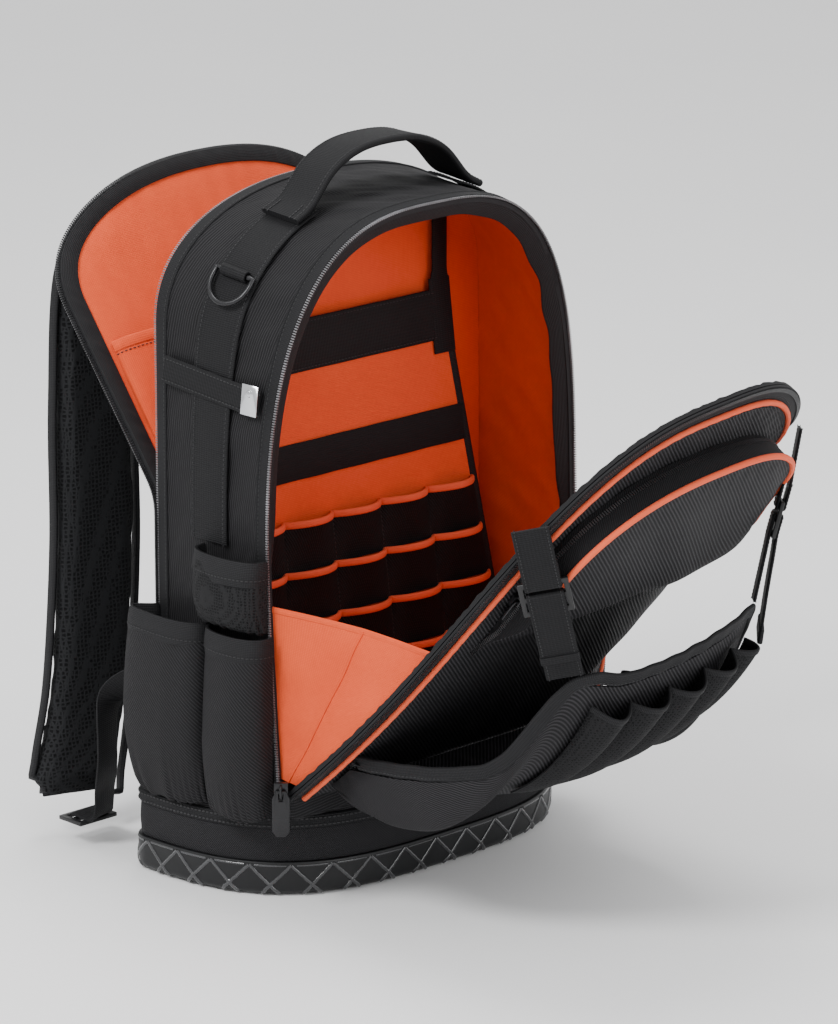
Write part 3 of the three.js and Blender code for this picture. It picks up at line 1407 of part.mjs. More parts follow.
function addFrontSlider(side) {
  const out = point(side, -1, 0).normalize();
  const reach = (SLIDER_WIDTH + SLIDER_THICKNESS) / 2 * Math.SQRT1_2 + GAP;
  const at = point(side * (FRONT_HALF_WIDTH + reach), FLAP_FOOT_Y, SLIDER_HEIGHT);
  addSlider(`front_${side < 0 ? 'left' : 'right'}`, at, point(0, 0, 1), out, {
    scale: 1, length: PULL_LENGTH, width: PULL_WIDTH,
  });
}

// The pouch's slider stands at the left foot of its arch, on the flap's face beside the pouch
function addPouchSlider() {
  const x = -POUCH_HALF_WIDTH - SLIDER_WIDTH * SMALL_SCALE / 2 - 2 * GAP;
  const lift = FLAP_THICKNESS + GAP + SLIDER_THICKNESS * SMALL_SCALE / 2 + GAP;
  const at = onFlap(x, POUCH_SPRING, lift);
  const out = onFlap(x, POUCH_SPRING, lift + 10).sub(at).normalize();
  const along = onFlap(x, POUCH_SPRING + 5, lift).sub(onFlap(x, POUCH_SPRING - 5, lift)).normalize();
  const across = along.clone().cross(out).normalize();
  addSlider('pouch', at, out.clone().cross(across).normalize(), out, {
    scale: SMALL_SCALE, length: SMALL_PULL_LENGTH, width: SMALL_PULL_WIDTH,
  });
}

addBase();
addFoot();
addBody();
addDivider();
addFlap();
addPouch();
addBellows();
addToolSlots();
addBoard();
addElastic();
addTiers();
addPanel();
addBackPad();
addHandle();
addClip();
addTallPocket();
addPouchSlider();
for (const side of [-1, 1]) {
  addFrontSlider(side);
  addFlapStrap(side);
  addWing(side);
  addHarness(side);
  addSideWebbing(side);
  addSidePockets(side);
}

export default group;
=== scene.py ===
"""Tool backpack: the looks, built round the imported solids. Sizes are in millimetres until a mesh is made."""

import logging
import math
from dataclasses import dataclass, field
from enum import Enum
from typing import Any, Callable, Mapping, Sequence

import bmesh
import bpy
import numpy as np
from mathutils import Matrix, Vector

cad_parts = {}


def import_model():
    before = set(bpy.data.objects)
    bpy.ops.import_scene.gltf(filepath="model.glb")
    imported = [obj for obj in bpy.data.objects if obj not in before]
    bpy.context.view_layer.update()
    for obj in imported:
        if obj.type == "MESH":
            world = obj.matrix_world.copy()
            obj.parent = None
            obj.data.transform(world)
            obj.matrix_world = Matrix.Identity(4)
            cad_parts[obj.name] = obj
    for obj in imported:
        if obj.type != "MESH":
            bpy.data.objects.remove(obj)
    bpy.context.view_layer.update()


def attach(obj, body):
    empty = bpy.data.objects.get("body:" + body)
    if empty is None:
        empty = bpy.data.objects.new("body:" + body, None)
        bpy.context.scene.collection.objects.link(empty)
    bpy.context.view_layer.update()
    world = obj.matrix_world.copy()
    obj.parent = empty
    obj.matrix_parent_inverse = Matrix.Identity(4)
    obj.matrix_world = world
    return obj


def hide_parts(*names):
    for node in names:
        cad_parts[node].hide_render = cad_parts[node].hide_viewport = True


LOG = logging.getLogger("backpack")
Grid = np.ndarray
MM = 0.001
PACK = "pack"

# Sizes that several pieces share

GAP = 0.3
CLOTH = 2.2
LINING = 1.0
THIN_CLOTH = 1.6
WEBBING = 1.8
WALL_FOOT = 83.6
TOP_OF_BASE = 60.0
FRONT_Y = -64.5
FRONT_BOW = 11.0
REAR_Y = 59.0
BODY_DEPTH = REAR_Y - FRONT_Y
ZIP_WIDTH = 10.0
INNER_INSET = CLOTH + LINING + 2 * GAP


class Side(Enum):
    """The two sides of the pack, as seen from the front."""

    LEFT = -1
    RIGHT = 1

    @property
    def word(self) -> str:
        """The side's name in a node's name."""
        return self.name.lower()


# Small sums on arrays of points


def unit(rows: Grid) -> Grid:
    """Rows of vectors at length one."""
    return rows / np.maximum(np.linalg.norm(rows, axis=-1, keepdims=True), 1e-12)


def mix(low: Any, high: Any, share: Any) -> Any:
    """The value at a share of the way from low to high."""
    return low + (high - low) * share


def ease(low: float, high: float, value: Any) -> Any:
    """A smooth step from 0 at low to 1 at high."""
    share = np.clip((value - low) / (high - low), 0, 1)
    return share * share * (3 - 2 * share)


def point(x: Any, y: Any, z: Any) -> Grid:
    """Points whose coordinates are numbers or arrays."""
    return np.stack(np.broadcast_arrays(np.asarray(x, float), y, z), axis=-1)


def along(path: Grid, closed: bool = False) -> Grid:
    """The direction of a path at each of its points."""
    if closed:
        return unit(np.roll(path, -1, axis=0) - np.roll(path, 1, axis=0))
    return unit(np.gradient(path, axis=0))


def run(path: Grid) -> Grid:
    """The length from a path's start to each of its points."""
    steps = np.linalg.norm(np.diff(path, axis=0), axis=1)
    return np.concatenate([[0], np.cumsum(steps)])


def at_stops(stops: Grid, length: Grid, rows: Grid) -> Grid:
    """Rows read between their own lengths, at stops."""
    return np.stack([np.interp(stops, length, column) for column in rows.T], axis=1)


def evened(path: Grid, pitch: float, *others: Grid) -> list[Grid]:
    """The path, and rows that go with it, cut into even steps of about pitch."""
    length = run(path)
    count = max(2, round(length[-1] / pitch) + 1)
    stops = np.linspace(0, length[-1], count)
    return [at_stops(stops, length, rows) for rows in (path, *others)]


def spline(rows: Grid, stops: Grid) -> Grid:
    """A smooth curve through rows of points, read at stops from 0 to 1."""
    rows = np.asarray(rows, float)
    padded = np.vstack([2 * rows[0] - rows[1], rows, 2 * rows[-1] - rows[-2]])
    at = np.clip(np.asarray(stops, float), 0, 1) * (len(rows) - 1)
    row = np.minimum(at.astype(int), len(rows) - 2)
    t = (at - row)[..., None]
    a, b, c, d = (padded[row + k] for k in range(4))
    return 0.5 * (2 * b + (c - a) * t + (2 * a - 5 * b + 4 * c - d) * t**2 + (3 * b - a - 3 * c + d) * t**3)


@dataclass(frozen=True)
class Folds:
    """Soft folds of cloth: a few slanted waves with a fixed seed."""

    seed: int
    height: float
    spacing: float
    turn: float = 0.0
    spread: float = 0.7
    count: int = 7

    def at(self, u: Grid, v: Grid) -> Grid:
        """How far the cloth stands out at places u and v, in millimetres."""
        rng = np.random.default_rng(self.seed)
        total = np.zeros(np.broadcast(u, v).shape)
        for _ in range(self.count):
            angle = self.turn + rng.uniform(-self.spread, self.spread)
            wave = 2 * math.pi / (self.spacing * rng.uniform(0.6, 1.7))
            phase = rng.uniform(0, 2 * math.pi)
            total += np.sin(wave * (u * math.cos(angle) + v * math.sin(angle)) + phase)
        return self.height * total / self.count


# Meshes


def finish_mesh(name: str, points: Grid, faces: list[tuple[int, ...]], uvs: Grid,
                crease: float = 50) -> bpy.types.Object:
    """Makes one closed, outward mesh in metres.

    Args:
        name: The piece's name.
        points: Its corners in millimetres.
        faces: Its faces as rows of corner numbers.
        uvs: A pair in metres for each corner, along the cloth.
        crease: The angle in degrees past which an edge stays sharp.

    Returns:
        The new object, linked to the scene.
    """
    a = points[[face[0] for face in faces]]
    b = points[[face[1] for face in faces]]
    c = points[[face[2] for face in faces]]
    d = points[[face[-1] for face in faces]]
    volume = (np.einsum("ij,ij->i", a, np.cross(b, c)) + np.einsum("ij,ij->i", a, np.cross(c, d))).sum()
    if volume < 0:
        faces = [tuple(reversed(face)) for face in faces]
    mesh = bpy.data.meshes.new(name)
    mesh.from_pydata((points * MM).tolist(), [], faces)
    layer = mesh.uv_layers.new(name="cloth")
    corners = np.array([corner for face in faces for corner in face])
    layer.data.foreach_set("uv", uvs[corners].astype(np.float32).ravel())
    mesh.polygons.foreach_set("use_smooth", [True] * len(mesh.polygons))
    mesh.set_sharp_from_angle(angle=math.radians(crease))
    mesh.update()
    piece = bpy.data.objects.new(name, mesh)
    bpy.context.scene.collection.objects.link(piece)
    return piece


def grid_normals(grid: Grid, around: bool = False) -> Grid:
    """The direction off a grid of points, row by row."""
    if around:
        across = np.roll(grid, -1, axis=1) - np.roll(grid, 1, axis=1)
    else:
        across = np.gradient(grid, axis=1)
    return unit(np.cross(across, np.gradient(grid, axis=0)))


def solid(name: str, inner: Grid, outer: Grid, uv: Grid, around: bool = False, cap: bool = False,
          crease: float = 50) -> bpy.types.Object:
    """The solid between two grids of points.

    Args:
        name: The piece's name.
        inner: Rows of points in millimetres, shape (rows, columns, 3).
        outer: The same grid on the other face.
        uv: Pairs in millimetres for each grid point.
        around: Whether the columns close on themselves.
        cap: Whether the last row is closed by one face on each side.
        crease: The angle in degrees past which an edge stays sharp.

    Returns:
        The new object.
    """
    rows, columns = inner.shape[:2]
    middles = [inner[-1].mean(axis=0), outer[-1].mean(axis=0)]
    points = np.concatenate([inner.reshape(-1, 3), outer.reshape(-1, 3), middles])
    uvs = np.concatenate([uv.reshape(-1, 2), uv.reshape(-1, 2), [uv[-1].mean(axis=0)] * 2]) * MM
    points, uvs = (points, uvs) if cap else (points[:-2], uvs[:-2])
    face = rows * columns
    faces: list[tuple[int, ...]] = []
    last = columns if around else columns - 1
    for j in range(rows - 1):
        for i in range(last):
            k = (i + 1) % columns
            a, b, c, d = j * columns + i, j * columns + k, (j + 1) * columns + k, (j + 1) * columns + i
            faces += [(a, b, c, d), (face + a, face + d, face + c, face + b)]
    top = (rows - 1) * columns
    for i in range(last):
        k = (i + 1) % columns
        faces.append((face + i, face + k, k, i))
        if not cap:
            faces.append((top + i, top + k, face + top + k, face + top + i))
        if cap:
            faces += [(top + i, top + k, 2 * face), (face + top + k, face + top + i, 2 * face + 1)]
    if not around:
        for j in range(rows - 1):
            a, b = j * columns, (j + 1) * columns
            faces.append((a, b, face + b, face + a))
            a, b = a + columns - 1, b + columns - 1
            faces.append((b, a, face + a, face + b))
    return finish_mesh(name, points, faces, uvs, crease)


def lengths(grid: Grid) -> Grid:
    """Pairs for a grid of points: how far along its middle row and its middle column each lies."""
    across = run(grid[grid.shape[0] // 2])
    down = run(grid[:, grid.shape[1] // 2])
    return np.stack(np.broadcast_arrays(across[None, :], down[:, None]), axis=-1)


def cloth(name: str, grid: Grid, low: Any, high: Any, crease: float = 50) -> bpy.types.Object:
    """The solid between two offsets of an open grid, in millimetres along the grid's own normals."""
    normals = grid_normals(grid)
    low = np.broadcast_to(np.asarray(low, float), grid.shape[:2])[..., None]
    high = np.broadcast_to(np.asarray(high, float), grid.shape[:2])[..., None]
    return solid(name, grid + normals * low, grid + normals * high, lengths(grid), crease=crease)


def shell(name: str, rings: Grid, closed: bool = False, crease: float = 40) -> bpy.types.Object:
    """A skin through closed rings of points, which meets itself or is closed by a face at each end."""
    rows, columns = rings.shape[:2]
    faces: list[tuple[int, ...]] = []
    for j in range(rows if closed else rows - 1):
        low, high = j * columns, ((j + 1) % rows) * columns
        for i in range(columns):
            k = (i + 1) % columns
            faces.append((low + i, low + k, high + k, high + i))
    if not closed:
        faces.append(tuple(reversed(range(columns))))
        faces.append(tuple(range((rows - 1) * columns, rows * columns)))
    return finish_mesh(name, rings.reshape(-1, 3), faces, lengths(rings).reshape(-1, 2) * MM, crease)


def rounded_section(width: float, thickness: float, steps: int = 4) -> Grid:
    """A flat band's section with round edges."""
    radius = thickness / 2
    turns = np.linspace(-math.pi / 2, math.pi / 2, steps + 1)
    right = np.stack([width / 2 - radius + radius * np.cos(turns), radius * np.sin(turns)], axis=1)
    return np.concatenate([right, -right])


def round_section(radius: float, steps: int = 10) -> Grid:
    """A round bar's section."""
    turns = np.arange(steps) * 2 * math.pi / steps
    return radius * np.stack([np.cos(turns), np.sin(turns)], axis=1)


def sweep(name: str, path: Grid, sides: Grid, section: Grid, closed: bool = False,
          scale: Grid | None = None, crease: float = 50) -> bpy.types.Object:
    """A section carried along a path.

    Args:
        name: The piece's name.
        path: Points in millimetres.
        sides: The direction of the section's width at each point.
        section: Pairs across the path, in millimetres.
        closed: Whether the path closes on itself.
        scale: Two factors for the section at each point, across and through.
        crease: The angle in degrees past which an edge stays sharp.

    Returns:
        The new object.
    """
    ways = along(path, closed)
    sides = unit(np.broadcast_to(np.asarray(sides, float), path.shape))
    sides = unit(sides - ways * np.sum(sides * ways, axis=1, keepdims=True))
    outs = np.cross(ways, sides)
    scale = np.ones((len(path), 2)) if scale is None else scale
    rings = (path[:, None] + sides[:, None] * (section[None, :, :1] * scale[:, None, :1])
             + outs[:, None] * (section[None, :, 1:] * scale[:, None, 1:]))
    count = len(section)
    edge = np.concatenate([[0], np.cumsum(np.linalg.norm(np.diff(section, axis=0), axis=1))])
    uvs = np.stack(np.broadcast_arrays(section[None, :, 0] + 0.2 * edge[None, :], run(path)[:, None]), axis=-1)
    faces: list[tuple[int, ...]] = []
    spans = len(path) if closed else len(path) - 1
    for j in range(spans):
        start, end = j * count, ((j + 1) % len(path)) * count
        for i in range(count):
            k = (i + 1) % count
            faces.append((start + i, start + k, end + k, end + i))
    if not closed:
        end = (len(path) - 1) * count
        faces.append(tuple(reversed(range(count))))
        faces.append(tuple(range(end, end + count)))
    return finish_mesh(name, rings.reshape(-1, 3), faces, uvs.reshape(-1, 2) * MM, crease)


def merged_copy(node: str, name: str, weld: float = 0.01) -> bpy.types.Object:
    """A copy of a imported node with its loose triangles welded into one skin."""
    piece = bpy.data.objects[node].copy()
    piece.data = bpy.data.objects[node].data.copy()
    piece.name = name
    piece.data.name = name
    piece.parent = None
    piece.matrix_world = Matrix.Identity(4)
    bpy.context.scene.collection.objects.link(piece)
    shape = bmesh.new()
    shape.from_mesh(piece.data)
    bmesh.ops.remove_doubles(shape, verts=shape.verts, dist=weld * MM)
    bmesh.ops.dissolve_limit(shape, angle_limit=math.radians(2), verts=shape.verts, edges=shape.edges)
    bmesh.ops.recalc_face_normals(shape, faces=shape.faces)
    shape.to_mesh(piece.data)
    shape.free()
    return piece


def apply_modifiers(piece: bpy.types.Object) -> None:
    """Turns what a piece's modifiers make into its plain mesh."""
    graph = bpy.context.evaluated_depsgraph_get()
    mesh = bpy.data.meshes.new_from_object(piece.evaluated_get(graph), depsgraph=graph)
    mesh.name = piece.name
    piece.modifiers.clear()
    piece.data = mesh


def softened(node: str, name: str, edge: float, steps: int = 2) -> bpy.types.Object:
    """A packed hard piece with its edges rounded by edge millimetres."""
    piece = merged_copy(node, name)
    bevel = piece.modifiers.new("edges", "BEVEL")
    bevel.width = edge * MM
    bevel.segments = steps
    bevel.limit_method = "ANGLE"
    bevel.angle_limit = math.radians(28)
    apply_modifiers(piece)
    piece.data.polygons.foreach_set("use_smooth", [True] * len(piece.data.polygons))
    piece.data.set_sharp_from_angle(angle=math.radians(40))
    return piece


# Materials


class Value:
    """Wraps a number socket, so that sums on it read as Python."""

    def __init__(self, paint: "Paint", socket: bpy.types.NodeSocket) -> None:
        """Keeps the socket and the material it belongs to."""
        self.paint = paint
        self.socket = socket

    def _sum(self, operation: str, *values: Any) -> "Value":
        """Adds one Math node."""
        made = self.paint.node("ShaderNodeMath", {"operation": operation}, dict(enumerate(values)))
        return Value(self.paint, made.outputs[0])

    def __add__(self, other: Any) -> "Value":
        """self + other."""
        return self._sum("ADD", self, other)

    __radd__ = __add__

    def __sub__(self, other: Any) -> "Value":
        """self - other."""
        return self._sum("SUBTRACT", self, other)

    def __rsub__(self, other: Any) -> "Value":
        """other - self."""
        return self._sum("SUBTRACT", other, self)

    def __mul__(self, other: Any) -> "Value":
        """self * other."""
        return self._sum("MULTIPLY", self, other)

    __rmul__ = __mul__

    def __pow__(self, other: Any) -> "Value":
        """self to a power."""
        return self._sum("POWER", self, other)

    def sine(self) -> "Value":
        """The sine of self."""
        return self._sum("SINE", self)

    def smaller(self, other: Any) -> "Value":
        """The smaller of self and other."""
        return self._sum("MINIMUM", self, other)

    def wave(self, pitch: float, turn: float = 0.0) -> "Value":
        """A wave from 0 to 1 with that pitch."""
        return 0.5 + 0.5 * (self * (2 * math.pi / pitch) + turn).sine()

    def eased(self, low: float, high: float) -> "Value":
        """A smooth step from 0 at low to 1 at high."""
        made = self.paint.node("ShaderNodeMapRange", {"interpolation_type": "SMOOTHSTEP"},
                               {"Value": self, "From Min": low, "From Max": high})
        return Value(self.paint, made.outputs[0])


class Paint:
    """One material's node tree."""

    def __init__(self, name: str) -> None:
        """Starts the material with one Principled shader."""
        self.material = bpy.data.materials.new(name)
        self.material.use_nodes = True
        self.tree = self.material.node_tree
        self.tree.nodes.clear()
        self.shader = self.node("ShaderNodeBsdfPrincipled")
        self.node("ShaderNodeOutputMaterial", values={"Surface": self.shader.outputs[0]})

    def node(self, kind: str, settings: Mapping[str, Any] | None = None,
             values: Mapping[Any, Any] | None = None) -> bpy.types.Node:
        """Adds any node.

        Args:
            kind: The node's type.
            settings: What is set on the node first.
            values: The numbers, colours or links of its sockets, by name or number.

        Returns:
            The new node.
        """
        made = self.tree.nodes.new(kind)
        for name, setting in (settings or {}).items():
            setattr(made, name, setting)
        for socket, given in (values or {}).items():
            if isinstance(given, Value):
                given = given.socket
            if isinstance(given, bpy.types.NodeSocket):
                self.tree.links.new(given, made.inputs[socket])
            else:
                made.inputs[socket].default_value = given
        return made

    def coordinates(self, kind: str) -> bpy.types.NodeSocket:
        """The UV or Object coordinates."""
        return self.node("ShaderNodeTexCoord").outputs[kind]

    def parts(self, vector: bpy.types.NodeSocket) -> tuple[Value, Value, Value]:
        """The three numbers of a vector."""
        made = self.node("ShaderNodeSeparateXYZ", values={0: vector})
        return tuple(Value(self, made.outputs[k]) for k in range(3))

    def noise(self, vector: bpy.types.NodeSocket, scale: float, detail: float = 3.0) -> Value:
        """Smooth noise from 0 to 1."""
        made = self.node("ShaderNodeTexNoise", values={"Vector": vector, "Scale": scale, "Detail": detail})
        return Value(self, made.outputs[0])

    def blend(self, share: Value, low: Sequence[float], high: Sequence[float]) -> bpy.types.NodeSocket:
        """A colour between two colours."""
        made = self.node("ShaderNodeMix", {"data_type": "RGBA"}, {0: share, 6: (*low, 1), 7: (*high, 1)})
        return made.outputs[2]

    def bump(self, height: Value, depth: float) -> None:
        """Sends a height to the shader's normal, with depth in millimetres."""
        made = self.node("ShaderNodeBump", values={"Height": height, "Strength": 1.0, "Distance": depth * MM})
        self.tree.links.new(made.outputs[0], self.shader.inputs["Normal"])

    def feed(self, socket: str, given: Any) -> None:
        """Links or sets one of the shader's sockets."""
        if isinstance(given, Value):
            given = given.socket
        if isinstance(given, bpy.types.NodeSocket):
            self.tree.links.new(given, self.shader.inputs[socket])
        else:
            self.shader.inputs[socket].default_value = given


@dataclass(frozen=True)
class Finish:
    """A finish with a name and the slot it belongs to."""

    name: str
    slot: str

    def dress(self, piece: bpy.types.Object) -> None:
        """Gives a piece this finish alone, made once for all pieces."""
        material = bpy.data.materials.get(self.name)
        if material is None:
            paint = Paint(self.name)
            self.mix_paint(paint)
            material = paint.material
        piece.data.materials.clear()
        piece.data.materials.append(material)

    def mix_paint(self, paint: Paint) -> None:
        """Builds the finish's nodes."""
        raise NotImplementedError


@dataclass(frozen=True)
class Twill(Finish):
    """Coarse woven cloth with slanted ribs that catch the light."""

    ground: tuple[float, float, float] = (0.0035, 0.0034, 0.004)
    rib: tuple[float, float, float] = (0.04, 0.038, 0.043)
    pitch: float = 2.1
    slant: float = 0.55
    depth: float = 0.35
    gloss: float = 0.62

    def mix_paint(self, paint: Paint) -> None:
        """Slanted ribs crossed by a fine thread, with a little wear."""
        u, v, _ = paint.parts(paint.coordinates("UV"))
        place = paint.coordinates("Object")
        waver = paint.noise(place, 90.0, 2.0) * 0.0006
        slanted = u + v * self.slant + waver
        rib = slanted.wave(self.pitch * MM) ** 1.6
        thread = (v - u * self.slant).wave(self.pitch * MM * 0.62)
        patch = paint.noise(place, 14.0, 4.0)
        weave = rib * (0.55 + 0.45 * thread)
        share = weave * (0.55 + 0.6 * patch)
        paint.feed("Base Color", paint.blend(share.smaller(1.0), self.ground, self.rib))
        paint.feed("Roughness", self.gloss + 0.2 * patch)
        paint.feed("Specular IOR Level", 0.2)
        paint.bump(weave, self.depth)


@dataclass(frozen=True)
class Plain(Finish):
    """Close plain weave, such as a lining."""

    dark: tuple[float, float, float] = (0.5, 0.028, 0.006)
    light: tuple[float, float, float] = (0.8, 0.085, 0.02)
    pitch: float = 1.3
    depth: float = 0.14
    gloss: float = 0.72

    def mix_paint(self, paint: Paint) -> None:
        """Two crossing threads over slow changes of colour."""
        u, v, _ = paint.parts(paint.coordinates("UV"))
        place = paint.coordinates("Object")
        threads = u.wave(self.pitch * MM) * v.wave(self.pitch * MM)
        patch = paint.noise(place, 11.0, 5.0)
        fine = paint.noise(place, 260.0, 2.0)
        share = 0.3 * threads + 0.55 * patch + 0.2 * fine
        paint.feed("Base Color", paint.blend(share.smaller(1.0), self.dark, self.light))
        paint.feed("Roughness", self.gloss + 0.15 * fine)
        paint.feed("Specular IOR Level", 0.12)
        paint.bump(threads + 1.4 * patch, self.depth)


@dataclass(frozen=True)
class Ribbed(Finish):
    """Webbing or tape: fine ribs across its length and a chain of threads along it."""

    dark: tuple[float, float, float] = (0.0025, 0.0025, 0.003)
    light: tuple[float, float, float] = (0.02, 0.02, 0.022)
    pitch: float = 1.5
    depth: float = 0.25
    gloss: float = 0.6

    def mix_paint(self, paint: Paint) -> None:
        """Ribs across, threads along, and fuzz."""
        u, v, _ = paint.parts(paint.coordinates("UV"))
        fuzz = paint.noise(paint.coordinates("Object"), 420.0, 2.0)
        ribs = v.wave(self.pitch * MM)
        threads = u.wave(self.pitch * MM * 1.3)
        weave = ribs * 0.65 + threads * 0.35
        share = weave * (0.4 + 0.8 * fuzz)
        paint.feed("Base Color", paint.blend(share.smaller(1.0), self.dark, self.light))
        paint.feed("Roughness", self.gloss + 0.2 * fuzz)
        paint.feed("Specular IOR Level", 0.2)
        paint.bump(weave, self.depth)


@dataclass(frozen=True)
class SpacerMesh(Finish):
    """Padded mesh cloth with rows of small holes."""

    dark: tuple[float, float, float] = (0.0015, 0.0015, 0.002)
    light: tuple[float, float, float] = (0.015, 0.0155, 0.017)
    pitch: float = 3.2

    def mix_paint(self, paint: Paint) -> None:
        """A net of cells between raised threads."""
        place = paint.coordinates("Object")
        cells = paint.node("ShaderNodeTexVoronoi", {"feature": "DISTANCE_TO_EDGE"},
                           {"Vector": place, "Scale": 1000 / self.pitch, "Randomness": 0.35})
        net = 1 - Value(paint, cells.outputs["Distance"]).eased(0.08, 0.32)
        fuzz = paint.noise(place, 500.0, 2.0)
        paint.feed("Base Color", paint.blend(net, self.dark, self.light))
        paint.feed("Roughness", 0.75 + 0.2 * fuzz)
        paint.feed("Specular IOR Level", 0.2)
        paint.bump(net, 0.4)


@dataclass(frozen=True)
class Smooth(Finish):
    """A hard or coated surface: moulded plastic, rubber, metal or coated cord."""

    colour: tuple[float, float, float] = (0.01, 0.01, 0.011)
    worn_and_glint: tuple[float, float, float] = (0.03, 0.03, 0.032)
    gloss: float = 0.35
    metal: float = 0.0
    coat: float = 0.0
    grain: float = 900.0
    depth: float = 0.05
    shine: float = 0.5

    def mix_paint(self, paint: Paint) -> None:
        """Fine grain, faint smears and a little wear; on the zip teeth the lighter colour is a painted glint."""
        place = paint.coordinates("Object")
        grain = paint.noise(place, self.grain, 2.0)
        smear = paint.noise(place, 22.0, 5.0)
        # On the zip teeth this mask places painted glints as well as wear.
        wear_and_glint = smear.eased(0.35, 0.8) * 0.7 + 0.3 * grain
        paint.feed("Base Color", paint.blend(wear_and_glint, self.colour, self.worn_and_glint))
        paint.feed("Roughness", self.gloss + 0.18 * smear)
        paint.feed("Metallic", self.metal)
        paint.feed("Coat Weight", self.coat)
        paint.feed("Specular IOR Level", self.shine)
        paint.bump(grain, self.depth)


TWILL = Twill("black_twill", "twill", slant=0.95, pitch=3.4, rib=(0.052, 0.05, 0.055), depth=0.5)
POCKET_TWILL = Twill("pocket_twill", "twill", slant=0.95, pitch=2.8, rib=(0.027, 0.026, 0.029), depth=0.4)
GUSSET_TWILL = Twill("gusset_twill", "twill", slant=8.0, pitch=17.0, rib=(0.03, 0.029, 0.032))
DARK_TWILL = Twill("dark_twill", "twill", rib=(0.014, 0.0135, 0.016), pitch=1.9)
BASE_TWILL = Twill("base_twill", "twill", ground=(0.006, 0.006, 0.007), rib=(0.034, 0.033, 0.036), pitch=1.5,
                   slant=0.8)
ORANGE = Plain("lining_cloth", "orange_lining", dark=(0.52, 0.04, 0.011), light=(0.86, 0.135, 0.045))
TAPE = Ribbed("black_tape", "binding", pitch=1.2)
STRAP = Ribbed("black_webbing", "webbing", light=(0.013, 0.013, 0.0145))
ELASTIC = Ribbed("black_elastic", "webbing", pitch=1.0, light=(0.012, 0.012, 0.014))
CORAL = Plain("coral_piping", "piping", dark=(0.66, 0.075, 0.03), light=(0.85, 0.16, 0.07), pitch=0.9,
              gloss=0.5)
MESH = SpacerMesh("spacer_mesh", "mesh")
NET = SpacerMesh("pocket_mesh", "mesh", pitch=2.2, light=(0.012, 0.012, 0.013))
RUBBER = Smooth("moulded_rubber", "rubber", (0.004, 0.0042, 0.0048), (0.009, 0.0095, 0.0105), gloss=0.34,
                coat=0.04, shine=0.3)
RIB_RUBBER = Smooth("glossy_rubber", "rubber", (0.012, 0.0125, 0.014), (0.045, 0.046, 0.05), gloss=0.16,
                    coat=0.5)
PLASTIC = Smooth("moulded_plastic", "plastic", (0.004, 0.004, 0.0045), (0.01, 0.01, 0.011), gloss=0.32,
                 shine=0.4)
# The zip teeth's colours are lightened as a painted glint, standing in for specular highlights on the teeth.
TEETH = Smooth("zip_teeth", "plastic", (0.06, 0.06, 0.063), (0.3, 0.3, 0.32), gloss=0.2, coat=0.5)
DARK_TEETH = Smooth("dark_zip_teeth", "plastic", (0.008, 0.008, 0.009), (0.045, 0.045, 0.048), gloss=0.3)
DARK_STEEL = Smooth("pull_steel", "dark_steel", (0.01, 0.01, 0.011), (0.03, 0.03, 0.033), gloss=0.2,
                    metal=0.5, depth=0.01)
CHROME = Smooth("bright_chrome", "chrome", (0.5, 0.51, 0.53), (0.7, 0.7, 0.72), gloss=0.12, metal=1.0,
                depth=0.01)
THREAD = Smooth("black_thread", "webbing", (0.005, 0.005, 0.006), (0.016, 0.016, 0.018), gloss=0.55)


# Rows of small repeated pieces, made by Geometry Nodes


def node_group(name: str, inputs: Mapping[str, str], nodes: Mapping[str, tuple[str, dict, dict]],
               links: Sequence[tuple[str, Any, str, Any]]) -> bpy.types.NodeTree:
    """Builds a tree of Geometry Nodes once, and gives the same one after that.

    Args:
        name: The tree's name.
        inputs: The kind of each named input.
        nodes: Each node's type, what is set on it and the values of its sockets, by a short key.
        links: Rows of a key, its output, the next key and its input.

    Returns:
        The node tree, which ends with one Geometry output.
    """
    known = bpy.data.node_groups.get(name)
    if known:
        return known
    tree = bpy.data.node_groups.new(name, "GeometryNodeTree")
    for socket, kind in inputs.items():
        tree.interface.new_socket(socket, in_out="INPUT", socket_type="NodeSocket" + kind)
    tree.interface.new_socket("Geometry", in_out="OUTPUT", socket_type="NodeSocketGeometry")
    made = {"given": tree.nodes.new("NodeGroupInput"), "result": tree.nodes.new("NodeGroupOutput")}
    for key, (kind, settings, values) in nodes.items():
        made[key] = tree.nodes.new(kind)
        for setting, value in settings.items():
            setattr(made[key], setting, value)
        for socket, value in values.items():
            made[key].inputs[socket].default_value = value
    for start, out, end, into in links:
        tree.links.new(made[start].outputs[out], made[end].inputs[into])
    return tree


def grown(name: str, mesh: bpy.types.Mesh, finish: "Finish", tree: bpy.types.NodeTree,
          given: Mapping[str, Any]) -> bpy.types.Object:
    """Runs a node tree on a mesh and keeps what it makes.

    Args:
        name: The new piece's name.
        mesh: The points or lines to start from.
        finish: The finish of the whole piece.
        tree: The node tree.
        given: Its inputs by name, apart from Material.

    Returns:
        The finished piece, dressed.
    """
    piece = bpy.data.objects.new(name, mesh)
    bpy.context.scene.collection.objects.link(piece)
    finish.dress(piece)
    modifier = piece.modifiers.new("pieces", "NODES")
    modifier.node_group = tree
    values = {**given, "Material": bpy.data.materials[finish.name]}
    for item in tree.interface.items_tree:
        if item.in_out == "INPUT" and item.name in values:
            modifier[item.identifier] = values[item.name]
    apply_modifiers(piece)
    return piece


